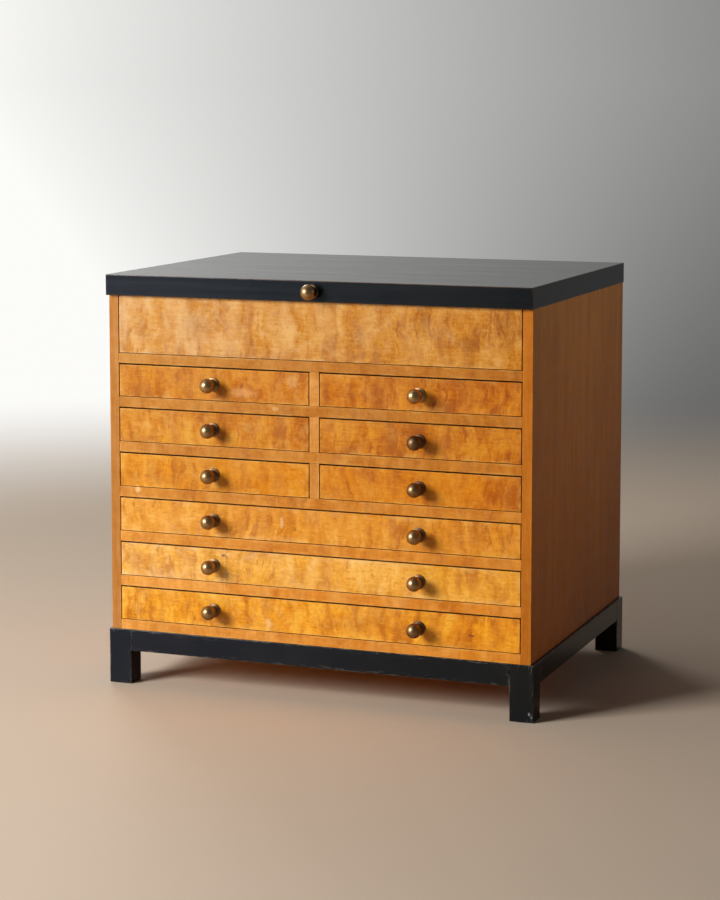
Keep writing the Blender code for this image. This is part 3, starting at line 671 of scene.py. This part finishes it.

    # Grime and dust in the gaps, just behind the front, which also paint shade there
    depth = finish.add("SeparateXYZ", {0: finish.place()}).outputs[Y]
    grime_and_shade_mask = finish.times(
        finish.between(depth, FRONT + 0.0001, FRONT + 0.0008),
        finish.between(depth, FRONT + 0.007, FRONT + 0.013, 0.95, 0.0),
        finish.between(insets[X], 0.0, 0.0006, 0.4, 1.0),
        finish.attribute("grime", "Fac"),
    )
    powder = finish.times(faded, finish.between(patches, 0.40, 0.60, 0.0, dusty))
    colour = finish.blend(grime_and_shade_mask, colour, finish.blend(powder, grime, dust))
    rough = finish.between(clouds, 0.3, 0.7, roughness - 0.05, roughness + 0.07)
    rough = finish.math("MAXIMUM", rough, grime_and_shade_mask)
    finish.surface({"Base Color": colour, "Roughness": rough, "Specular IOR Level": specular})
    finish.bump(fibres, 0.00005)


def black_stain(colours):
    """Black stain under a satin polish: fine grain lines, edges worn to the wood, pale scuffs near them, and
    on the base's edges a pale grey that is scuffing and painted highlight.
    """
    finish = Finish(new_material("chest_black_stain").node_tree)
    grain = finish.attribute("grain")
    lines = finish.noise(grain, 3, 150)
    clouds = finish.noise(grain, 7, 9, 3, 0.55)
    colour = finish.blend(finish.between(clouds, 0.35, 0.75), colours.black, colours.black_light)
    # The tint carries painted light, paler towards the key lamp's side, here at six tenths of its strength
    tint = finish.vector("MULTIPLY", finish.attribute("tint"), (0.6, 0.6, 0.6))
    colour = finish.vector("MULTIPLY", colour, finish.vector("ADD", tint, (0.4, 0.4, 0.4)))
    edge = finish.edge_distance(finish.insets())
    patches = finish.noise(grain, 40, 40, 3, 0.65)
    scuffed = finish.attribute("worn", "Fac")
    # Worn edges: the lid's show the wood; the base's take pale scuffs with painted highlight along the
    # arrises
    least = finish.between(scuffed, 0.0, 1.0, 0.0014, 0.0003)
    reach = finish.between(patches, 0.35, 0.75, least, 0.0024)
    rubbed = finish.between(finish.math("DIVIDE", edge, reach), 0.0, 1.0, 0.75, 0.0)
    colour = finish.blend(rubbed, colour, finish.blend(scuffed, colours.black_worn, colours.black_scuff_and_highlight))
    # Pale scuffs near the base's edges, partly painted highlight
    scuffs = finish.between(finish.noise(grain, 35, 260, 4, 0.7), 0.55, 0.68)
    near = finish.between(edge, 0.001, 0.009, 0.55, 0.0)
    colour = finish.blend(finish.times(scuffs, near, scuffed), colour, colours.black_scuff_and_highlight)
    colour = small_marks(finish, colour, FOOT_MARKS, colours.black, colours.foot_chip)
    finish.surface({
        "Base Color": colour,
        "Roughness": finish.between(lines, 0.3, 0.7, 0.17, 0.24),
        "Specular IOR Level": 0.27,
        "Specular Tint": (0.80, 0.92, 1.0),
    })
    finish.bump(lines, 0.000012)


def old_brass(colours):
    """Brass with a brown patina, rubbed bright where a hand reaches it, and fine dark specks."""
    finish = Finish(new_material("chest_old_brass").node_tree)
    clouds = finish.noise(finish.place(), 110, 110, 4)
    specks = finish.noise(finish.place(), 700, 700)
    rubbed = finish.math("ADD", finish.attribute("rubbed", "Fac"), finish.times(clouds, 0.9))
    colour = finish.blend(finish.between(rubbed, 0.35, 1.25), colours.patina, colours.brass)
    colour = finish.blend(finish.between(specks, 0.56, 0.72, 0.0, 0.5), colour, colours.patina)
    rough = finish.between(rubbed, 0.2, 1.2, 0.50, 0.30)
    finish.surface({"Base Color": colour, "Metallic": 1.0, "Roughness": rough})
    finish.bump(specks, 0.00006)


class CHEST_OT_finishes(bpy.types.Operator):
    """Makes the woods, the black stain and the brass"""

    bl_idname = "chest.finishes"
    bl_label = "Finishes"

    def execute(self, context):
        c = context.scene.chest_colours
        marks = (c.grime, c.dust, c.stain, c.scuff)
        birch("chest_flame_birch", (c.flame_dark, c.flame_mid, c.flame_light, c.worn_edge, *marks),
              mottle=1.0, flame=0.60, fibre=0.6, dusty=0.1, worn_width=0.0020, roughness=0.38, specular=0.18)
        birch("chest_birch_edge", (c.plain_dark, c.plain_mid, c.plain_light, c.worn_edge, *marks),
              mottle=0.95, flame=0.36, fibre=0.8, dusty=0.9, worn_width=0.0008, roughness=0.44, specular=0.16)
        birch("chest_birch_side", (c.side_dark, c.side_mid, c.side_light, c.side_light, *marks),
              mottle=0.32, flame=0.0, fibre=1.7, dusty=0.3, worn_width=0.0010, roughness=0.34, specular=0.13)
        birch("chest_drawer_birch", (c.bare_dark, c.bare_mid, c.bare_light, c.bare_light, *marks),
              mottle=0.45, flame=0.10, fibre=0.9, dusty=0.3, worn_width=0.0010, roughness=0.60, specular=0.20)
        black_stain(c)
        old_brass(c)
        return {"FINISHED"}


def hinge_beds(sizes, leaf, back, low, high):
    """The beds of both leaves of a kind, from a low to a high place, open towards the back."""
    beds = []
    for side in SIDES:
        leaf_low, leaf_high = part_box(f"{leaf}_{side}")
        corner = (leaf_low.x - sizes.fit, leaf_low.y - sizes.fit, low)
        beds.append(box_shape(corner, (leaf_high.x + sizes.fit, back + PAST, high)))
    return beds


class CHEST_OT_carcass(bpy.types.Operator):
    """Makes the sides, the back, the boards between the drawers and their dividers"""

    bl_idname = "chest.carcass"
    bl_label = "Carcass"

    def execute(self, context):
        sizes = context.scene.chest_sizes
        radius = sizes.carcass_arris
        back_low, back_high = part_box("back_panel")
        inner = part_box("side_right")[0].x
        for name, sign, tint in (("side_left", -1, (0.86, 0.95, 1.20)), ("side_right", 1, (0.97, 1.0, 1.05))):
            low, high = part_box(name)
            ends = sorted((sign * (inner - PAST), sign * (back_high.x + sizes.fit)))
            rebate = box_shape(
                (ends[0], back_low.y - sizes.fit, low.z - PAST), (ends[1], high.y + PAST, high.z + PAST)
            )
            # Painted light: each side browner towards its foot, greyer towards its top and paler towards the
            # key lamp; grime with painted shade on its inner face in the gaps
            board(f"{name}_board", low, high, Z, Y, "carcass", "birch_side", name, radius, [rebate],
                  tint=side_with_painted_light(tint, low, high),
                  grime=lambda points: np.abs(points[:, X]) < inner + radius)
        bed = back_high.z - sizes.leaf_thickness - sizes.fit
        beds = hinge_beds(sizes, "body_hinge_leaf", back_high.y, bed, back_high.z + PAST)
        board("back_board", back_low, back_high, Z, X, "carcass", "birch_side", "back_panel", radius, beds)
        for name, (shade, worn) in RAILS.items():
            low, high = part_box(name)
            low.x = sizes.fit - inner
            high.x = inner - sizes.fit
            # Each rail's tint carries painted light, darker towards the top, and grime with painted shade
            # lines its gaps
            board(f"{name}_rail", low, high, X, Y, "carcass", "birch_edge", name, radius,
                  tint=with_painted_light(shade * np.array(RAIL_TINT)), worn=worn, grime=1.0)
        boards = ("well_floor", "shelf_1", "shelf_2", "shelf_3")
        for row, (over, under) in enumerate(zip(boards[:-1], boards[1:]), start=1):
            low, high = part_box(f"divider_{row}")
            low.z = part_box(under)[1].z + sizes.fit
            high.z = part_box(over)[0].z - sizes.fit
            # The tint carries painted light, paler towards the key lamp's side
            board(f"divider_{row}_board", low, high, Z, Y, "carcass", "birch_edge", f"divider_{row}", radius,
                  tint=with_painted_light((1, 1, 1)), grime=1.0)
        return {"FINISHED"}


class CHEST_OT_blind_panel(bpy.types.Operator):
    """Makes the fixed panel in front of the well"""

    bl_idname = "chest.blind_panel"
    bl_label = "Blind panel"

    def execute(self, context):
        sizes = context.scene.chest_sizes
        low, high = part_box("well_front")
        low.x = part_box("side_left")[1].x + sizes.panel_gap
        high.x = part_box("side_right")[0].x - sizes.panel_gap
        radius = sizes.front_arris
        # Grime with painted shade in the gaps at its left end and its foot, not at its right end or top; the
        # tint carries painted light
        board("blind_panel", low, high, X, Z, "carcass", "flame_birch", "well_front", radius,
              tint=with_painted_light((0.78, 0.86, 1.27)), worn=from_left(1.0, 0.35), figured=from_left(1.0, 1.5),
              grime=lambda points: np.all(points[:, [X, Z]] < (high.x - radius, high.z - radius), 1))
        return {"FINISHED"}


def tail_outlines(sizes, low, high, shoulder, room):
    """The tails of a drawer side in Y and Z, grown by the room round them.

    The height is shared among the tails. Each is tail_share of its pitch wide at the tip, low.y, and narrows
    by the slope on both sides towards the shoulder.
    """
    pitch = (high.z - low.z) / sizes.tails
    middles = low.z + pitch * (np.arange(sizes.tails) + 0.5)
    half_tip = pitch * sizes.tail_share / 2
    half_root = half_tip - (shoulder - low.y) * sizes.tail_slope
    tip = low.y - room
    return [
        [(shoulder, m - half_root - room), (shoulder, m + half_root + room),
         (tip, m + half_tip + room), (tip, m - half_tip - room)]
        for m in middles
    ]


def tail_gaps(sizes, low, high, shoulder):
    """What is sawn away between the tails, and past the first and the last one."""
    tails = tail_outlines(sizes, low, high, shoulder, 0.0)
    feet = [(low.z - PAST, low.z - PAST)] + [(tail[1][1], tail[2][1]) for tail in tails]
    heads = [(tail[0][1], tail[3][1]) for tail in tails] + [(high.z + PAST, high.z + PAST)]
    tip = low.y - PAST
    return [
        [(shoulder, foot[0]), (shoulder, head[0]), (tip, head[1]), (tip, foot[1])]
        for foot, head in zip(feet, heads)
    ]


class CHEST_OT_drawers(bpy.types.Operator):
    """Makes the fronts, socketed for their sides, and the sides, backs and bottoms behind them"""

    bl_idname = "chest.drawers"
    bl_label = "Drawers"

    def execute(self, context):
        sizes = context.scene.chest_sizes
        for name in PAIRED_DRAWERS + WIDE_DRAWERS:
            tint, grime, figure, wear = ROW_LOOKS[name.split("_")[1]]
            # The tint carries painted light and, in the upper rows, painted shade; the gaps take grime with
            # painted shade
            self.front(sizes, name, tint=with_painted_light(tint), grime=grime, figured=from_left(*figure),
                       worn=from_left(*wear))
            self.tray(sizes, name)
        return {"FINISHED"}

    def front(self, sizes, name, **look):
        """The veneered front with its half-blind sockets."""
        low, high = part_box(f"{name}_front")
        tray_low, tray_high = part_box(f"{name}_tray")
        sockets = []
        depth = sizes.tray_side + sizes.fit
        for outline in tail_outlines(sizes, tray_low, tray_high, high.y + PAST, sizes.fit):
            sockets.append(prism_shape(outline, low.x - PAST, low.x + depth))
            sockets.append(prism_shape(outline, high.x - depth, high.x + PAST))
        board(f"{name}_face", low, high, X, Z, name, "flame_birch", f"{name}_front", sizes.front_arris,
              sockets, **look)

    def tray(self, sizes, name):
        """The bare boards of a drawer behind its front."""
        low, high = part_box(f"{name}_tray")
        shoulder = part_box(f"{name}_front")[1].y + sizes.fit
        bare = (name, "drawer_birch", f"{name}_tray", sizes.tray_arris)
        gaps = tail_gaps(sizes, low, high, shoulder)
        inner = (low.x + sizes.tray_side, high.x - sizes.tray_side)
        for side, start, end in zip(SIDES, (low.x, inner[1]), (inner[0], high.x)):
            cuts = [prism_shape(outline, start - PAST, end + PAST) for outline in gaps]
            board(f"{name}_side_{side}", (start, low.y, low.z), (end, high.y, high.z), Y, Z, *bare, cuts)
        back_end = high.y - sizes.tray_back_inset
        bottom = low.z + sizes.tray_bottom_raise
        bottom_top = bottom + sizes.tray_bottom
        back_low = (inner[0] + sizes.fit, back_end - sizes.tray_back, bottom_top + sizes.fit)
        back_high = (inner[1] - sizes.fit, back_end, high.z - sizes.tray_back_drop)
        board(f"{name}_back", back_low, back_high, X, Z, *bare)
        bottom_low = (inner[0] + sizes.fit, shoulder, bottom)
        bottom_high = (inner[1] - sizes.fit, back_end + sizes.tray_bottom_tail, bottom_top)
        board(f"{name}_bottom", bottom_low, bottom_high, X, Y, *bare)


def knob_profile(sizes, ball_diameter, reach):
    """Radius and height of a knob from the front of its ball down to its stud, and how rubbed each point is.

    The ball is an arc down to the neck. Below it come a small collar, a flare that is a quarter ellipse, the
    rose's rounded rim, and the stud behind the seat.
    """
    ball = ball_diameter / 2
    neck = sizes.neck / 2
    rim = sizes.rose_edge
    bend = sizes.rose / 2 - rim / 2
    stud = 0.003
    collar = 0.0006
    last = math.pi - math.asin(neck / ball)
    sweep = np.linspace(0, last, 30)
    arc = np.column_stack((ball * np.sin(sweep), reach + ball * np.cos(sweep)))
    top = reach + ball * math.cos(last) - collar
    turn = np.linspace(0, math.pi / 2, 12)
    flare = np.column_stack((1 - np.cos(turn), 1 - np.sin(turn))) * (bend - neck, top - rim) + (neck, rim)
    turn_in = np.linspace(math.pi / 2, -math.pi / 2, 9)
    edge = np.column_stack((bend + rim / 2 * np.cos(turn_in), rim / 2 + rim / 2 * np.sin(turn_in)))
    shank = [(stud, 0.0), (stud, -sizes.stud), (0.0, -sizes.stud)]
    profile = np.concatenate((arc, flare, edge, shank))
    height = np.clip((profile[:, 1] - reach) / ball, -1, 1)
    rubbed = np.where(np.arange(len(profile)) < len(arc), 0.25 + 0.35 * height, 0.05)
    rubbed[len(arc) + len(flare):-len(shank)] = 0.20
    return profile, rubbed


class CHEST_OT_knobs(bpy.types.Operator):
    """Turns the brass ball knobs"""

    bl_idname = "chest.knobs"
    bl_label = "Knobs"

    def execute(self, context):
        sizes = context.scene.chest_sizes
        knobs = [(name, f"{name}_knob") for name in PAIRED_DRAWERS]
        knobs += [(name, f"{name}_knob_{side}") for name in WIDE_DRAWERS for side in SIDES]
        profile, rubbed = knob_profile(sizes, sizes.ball, sizes.ball_reach)
        for name, node in knobs:
            self.knob(sizes, node, f"{name}_front", name, profile, rubbed + KNOB_POLISH.get(node, 0.0))
        profile, rubbed = knob_profile(sizes, sizes.lid_ball, sizes.lid_ball_reach)
        self.knob(sizes, "lid_knob", "lid_panel", "lid", profile, rubbed)
        return {"FINISHED"}

    def knob(self, sizes, node, carrier, body, profile, rubbed):
        """One knob on its seat, turned to face -Y."""
        low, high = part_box(node)
        seat = Vector(((low.x + high.x) / 2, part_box(carrier)[0].y - sizes.fit, (low.z + high.z) / 2))
        points, faces = turned_shape(profile, sizes.knob_steps)
        points = points[:, [0, 2, 1]] * (1, -1, 1) + np.array(seat)
        rings = np.repeat(rubbed[1:-1], sizes.knob_steps)
        mesh = mesh_of(f"{node}_turned", (points, faces))
        brass(f"{node}_turned", mesh, body, np.concatenate((rings, rubbed[[0, -1]])), node)


class CHEST_OT_lid(bpy.types.Operator):
    """Makes the black slab that lifts off the well"""

    bl_idname = "chest.lid"
    bl_label = "Lid"

    def execute(self, context):
        sizes = context.scene.chest_sizes
        low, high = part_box("lid_panel")
        bed = low.z + sizes.leaf_thickness + sizes.fit
        beds = hinge_beds(sizes, "lid_hinge_leaf", high.y, low.z - PAST, bed)
        # The tint carries painted light, paler towards the key lamp's side
        board("lid_slab", low, high, X, Y, "lid", "black_stain", "lid_panel", sizes.lid_arris, beds,
              tint=with_painted_light((1, 1, 1)), worn=0.0)
        return {"FINISHED"}


class CHEST_OT_hinges(bpy.types.Operator):
    """Makes the two brass butt hinges with their pins and screws"""

    bl_idname = "chest.hinges"
    bl_label = "Hinges"

    def execute(self, context):
        sizes = context.scene.chest_sizes
        for side in SIDES:
            low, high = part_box(f"body_hinge_leaf_{side}")
            thirds = np.linspace(low.x, high.x, 4)
            gap = sizes.fit / 2
            spans = [(start + gap, end - gap) for start, end in zip(thirds[:-1], thirds[1:])]
            self.leaf(sizes, f"body_hinge_leaf_{side}", "carcass", (spans[0], spans[2]), -1)
            self.leaf(sizes, f"lid_hinge_leaf_{side}", "lid", (spans[1],), 1)
            self.pin(sizes, f"hinge_pin_{side}")
        return {"FINISHED"}

    def leaf(self, sizes, node, body, spans, up):
        """A leaf that lies on the wood below (-1) or above (1) the axis, with its knuckles and screws."""
        low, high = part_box(node)
        _, axis_y, axis_z = LID_AXIS
        shoulder = low.y + sizes.leaf_width
        inner = axis_z + up * sizes.fit / 2
        foot, head = sorted((inner, inner + up * sizes.leaf_thickness))
        corners = ((low.x, low.y, foot), (high.x, shoulder, head))
        mesh = mesh_of(f"{node}_brass", board_shape(node, *corners, radius=0.0003, pitch=0.02, wear=0.3))
        wall = (sizes.knuckle + sizes.knuckle_bore) / 4
        overlap = 0.001
        thinner = 0.00005
        for start, end in spans:
            tab = box_shape((start, shoulder - overlap, foot + thinner), (end, axis_y - wall, head - thinner))
            mesh = combined(mesh, tab, "UNION")
            mesh = combined(mesh, self.knuckle(sizes, start, end), "UNION")
        brass(f"{node}_brass", mesh, body, 0.25, node)
        middle = low.y + sizes.leaf_width * 0.52
        stagger = 0.002
        for number, share in enumerate((0.16, 0.5, 0.84), start=1):
            x = low.x + share * (high.x - low.x)
            y = middle + (stagger if number == 2 else -stagger)
            self.screw(sizes, f"{node}_screw_{number}", body, (x, y, inner), -up, turn=0.4 + number)

    def on_axis(self, shape):
        """A shape about +Z, laid along X on the hinges' axis."""
        points, faces = shape
        return points[:, [2, 0, 1]] + (0, *LID_AXIS[1:]), faces

    def knuckle(self, sizes, start, end):
        """A bored barrel along X between two ends, its rims eased."""
        outer = sizes.knuckle / 2
        bore = sizes.knuckle_bore / 2
        ease = 0.0003
        profile = [(outer - ease, end), (outer, end - ease), (outer, start + ease), (outer - ease, start),
                   (bore, start), (bore, end)]
        return self.on_axis(ring_shape(profile, HINGE_STEPS))

    def pin(self, sizes, node):
        """The pin with a domed head at each end."""
        low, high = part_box(node)
        head = sizes.knuckle / 2 - sizes.fit
        dome = np.linspace(0, math.pi / 2, 8)
        rise = 0.0015
        top = np.column_stack((head * np.sin(dome), high.x - rise + rise * np.cos(dome)))
        foot = np.column_stack((head * np.sin(dome), low.x + rise - rise * np.cos(dome)))[::-1]
        shank = [(sizes.pin / 2, high.x - rise), (sizes.pin / 2, low.x + rise)]
        shape = turned_shape(np.concatenate((top, shank, foot)), HINGE_STEPS)
        brass(f"{node}_brass", mesh_of(f"{node}_brass", self.on_axis(shape)), "carcass", 0.35, node)

    def screw(self, sizes, name, body, place, facing, turn):
        """A slotted countersunk screw head, flush in its leaf, facing up (1) or down (-1)."""
        head = sizes.screw_head / 2
        slot = sizes.screw_slot / 2
        depth = 0.0012
        profile = [(0, 0.00012), (head * 0.6, 0.0001), (head * 0.92, 0.00002), (head, -0.0001),
                   (head * 0.55, -depth), (0, -depth)]
        mesh = mesh_of(name, turned_shape(profile, 28))
        mesh = combined(mesh, box_shape((-head, -slot, -depth / 2), (head, slot, 0.001)))
        cos, sin = math.cos(turn), math.sin(turn)
        spin = ((cos, sin, 0), (-sin, cos, 0), (0, 0, 1))
        points = point_coordinates(mesh).astype(float) @ np.array(spin) * (1, facing, facing) + place
        mesh.vertices.foreach_set("co", points.astype(np.float32).ravel())
        brass(name, mesh, body, 0.4)


class CHEST_OT_base(bpy.types.Operator):
    """Makes the black frame: four feet with aprons between them"""

    bl_idname = "chest.base"
    bl_label = "Base"

    def execute(self, context):
        sizes = context.scene.chest_sizes
        radius = sizes.base_arris
        # The tint carries painted light, paler towards the key lamp's side; worn 1.0 gives the edges pale
        # scuffs with painted highlight
        look = {"tint": with_painted_light(BASE_TINT), "worn": 1.0}
        for foot in ("foot_front_left", "foot_front_right", "foot_back_left", "foot_back_right"):
            low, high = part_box(foot)
            board(f"{foot}_post", low, high, Z, X, "carcass", "black_stain", foot, radius, **look)
        for name, axis, first, last in (
            ("apron_front", X, "front_left", "front_right"),
            ("apron_back", X, "back_left", "back_right"),
            ("apron_left", Y, "front_left", "back_left"),
            ("apron_right", Y, "front_right", "back_right"),
        ):
            low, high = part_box(name)
            low[axis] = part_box(f"foot_{first}")[1][axis] + sizes.fit
            high[axis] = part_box(f"foot_{last}")[0][axis] - sizes.fit
            board(f"{name}_rail", low, high, axis, Z, "carcass", "black_stain", name, radius, **look)
        return {"FINISHED"}


class CHEST_OT_stage(bpy.types.Operator):
    """Makes the plain floor, the lamps and the camera"""

    bl_idname = "chest.stage"
    bl_label = "Stage"

    def execute(self, context):
        self.floor(context.scene.chest_colours)
        self.world(context.scene)
        self.lamp("key", (-2.60, -3.40, 1.95), size=1.65, power=215)
        self.lamp("overhead", (-0.6, 0.4, 3.8), size=2.4, power=6)
        self.lamp("rear", (-3.0, 3.4, 3.4), size=1.6, power=55)
        self.lamp("fill", (2.4, 0.3, 1.15), size=0.5, power=0.5, spread=45, aim=0.35)
        self.camera(context.scene)
        context.scene.view_settings.view_transform = "Standard"
        return {"FINISHED"}

    def backdrop_strength(self, finish, direction):
        """Brightness of the backdrop in a direction: pale towards -X, the key lamp's side, dim towards +X.

        The camera, gloss and glass see it so, and it lights the chest with about a quarter of that.
        """
        unit = finish.add("VectorMath", {0: direction}, operation="NORMALIZE").outputs["Vector"]
        x = finish.add("SeparateXYZ", {0: unit}).outputs[X]
        side = finish.add("MapRange", {"Value": x, "From Min": -0.02, "From Max": -0.51}).outputs["Result"]
        pale = finish.math("ADD", finish.times(finish.math("POWER", side, 2.0), 0.95), 0.16)
        path = finish.add("LightPath", {}).outputs
        seen = finish.math("MAXIMUM", path["Is Camera Ray"], path["Is Glossy Ray"])
        seen = finish.math("MAXIMUM", seen, path["Is Transmission Ray"])
        return finish.times(pale, finish.between(seen, 0.0, 1.0, 0.24, 1.0))

    def floor(self, colours):
        """A wide disc, a function of radius and angle, that fades into the backdrop away from the chest."""
        steps = 48
        radius = np.concatenate(([0.01], np.linspace(0.5, 4, 8), [8, 16, 40, 120, 400]))
        ids = ring_ids(len(radius), steps)
        faces = grid_quads(ids).tolist() + [ids[0, :-1].tolist()]
        mesh = mesh_of("floor", (round_points(radius, 0 * radius, steps), faces))
        made = bpy.data.objects.new("floor", mesh)
        bpy.context.scene.collection.objects.link(made)
        material = new_material("stage_floor")
        finish = Finish(material.node_tree)
        finish.surface({"Base Color": colours.floor, "Roughness": 0.7, "Specular IOR Level": 0.2})
        place = finish.place()
        away = finish.add("VectorMath", {0: place}, operation="LENGTH").outputs["Value"]
        strength = self.backdrop_strength(finish, place)
        glow = finish.add("Emission", {"Color": colours.backdrop, "Strength": strength}).outputs[0]
        shaders = {0: finish.between(away, 1.7, 4.5), 1: finish.shader.outputs[0], 2: glow}
        mixed = finish.add("MixShader", shaders).outputs[0]
        finish.put(finish.tree.nodes["Material Output"].inputs["Surface"], mixed)
        mesh.materials.append(material)

    def world(self, scene):
        """A plain backdrop all round that is paler on the key lamp's side."""
        scene.world = bpy.data.worlds.new("stage")
        scene.world.use_nodes = True
        finish = Finish(scene.world.node_tree)
        direction = finish.add("TexCoord", {}).outputs["Generated"]
        glow = finish.tree.nodes["Background"].inputs
        finish.put(glow["Color"], scene.chest_colours.backdrop)
        finish.put(glow["Strength"], self.backdrop_strength(finish, direction))

    def lamp(self, name, place, size, power, spread=180, aim=0.0):
        """A square soft lamp that faces the chest, or a height above its middle."""
        lamp = bpy.data.lights.new(name, "AREA")
        lamp.size = size
        lamp.energy = power
        lamp.spread = math.radians(spread)
        made = bpy.data.objects.new(name, lamp)
        made.location = place
        target = (CAD_BOX[0] + CAD_BOX[1]) / 2 + Vector((0, 0, aim))
        made.rotation_euler = (target - Vector(place)).to_track_quat("-Z", "Y").to_euler()
        made.visible_camera = False
        bpy.context.scene.collection.objects.link(made)

    def camera(self, scene):
        """The photograph's view: from the right, a little above the lid."""
        camera = bpy.data.cameras.new("camera")
        camera.lens = 95.3
        camera.sensor_width = 36
        camera.shift_y = -0.131
        made = bpy.data.objects.new("camera", camera)
        made.location = (1.716, -4.539, 1.208)
        made.rotation_euler = (math.radians(84), 0, math.radians(20.96))
        scene.collection.objects.link(made)
        scene.camera = made


class CHEST_PT_panel(bpy.types.Panel):
    """Lists the chest's pieces"""

    bl_idname = "CHEST_PT_panel"
    bl_label = "Gentleman's chest"
    bl_space_type = "VIEW_3D"
    bl_region_type = "UI"
    bl_category = "Chest"

    def draw(self, context):
        for operator in OPERATORS:
            self.layout.operator(operator.bl_idname)
        for group in (context.scene.chest_sizes, context.scene.chest_colours):
            column = self.layout.column(align=True)
            for key in group.__annotations__:
                column.prop(group, key)


OPERATORS = (
    CHEST_OT_finishes,
    CHEST_OT_carcass,
    CHEST_OT_blind_panel,
    CHEST_OT_drawers,
    CHEST_OT_knobs,
    CHEST_OT_lid,
    CHEST_OT_hinges,
    CHEST_OT_base,
    CHEST_OT_stage,
)
CLASSES = (ChestSizes, ChestColours, *OPERATORS, CHEST_PT_panel)


def register():
    for item in CLASSES:
        bpy.utils.register_class(item)
    bpy.types.Scene.chest_sizes = PointerProperty(type=ChestSizes)
    bpy.types.Scene.chest_colours = PointerProperty(type=ChestColours)


def unregister():
    del bpy.types.Scene.chest_colours
    del bpy.types.Scene.chest_sizes
    for item in reversed(CLASSES):
        bpy.utils.unregister_class(item)


def main():
    register()
    bpy.ops.chest.finishes()
    bpy.ops.chest.carcass()
    bpy.ops.chest.blind_panel()
    bpy.ops.chest.drawers()
    bpy.ops.chest.knobs()
    bpy.ops.chest.lid()
    bpy.ops.chest.hinges()
    bpy.ops.chest.base()
    bpy.ops.chest.stage()


if __name__ == "__main__":
    main()
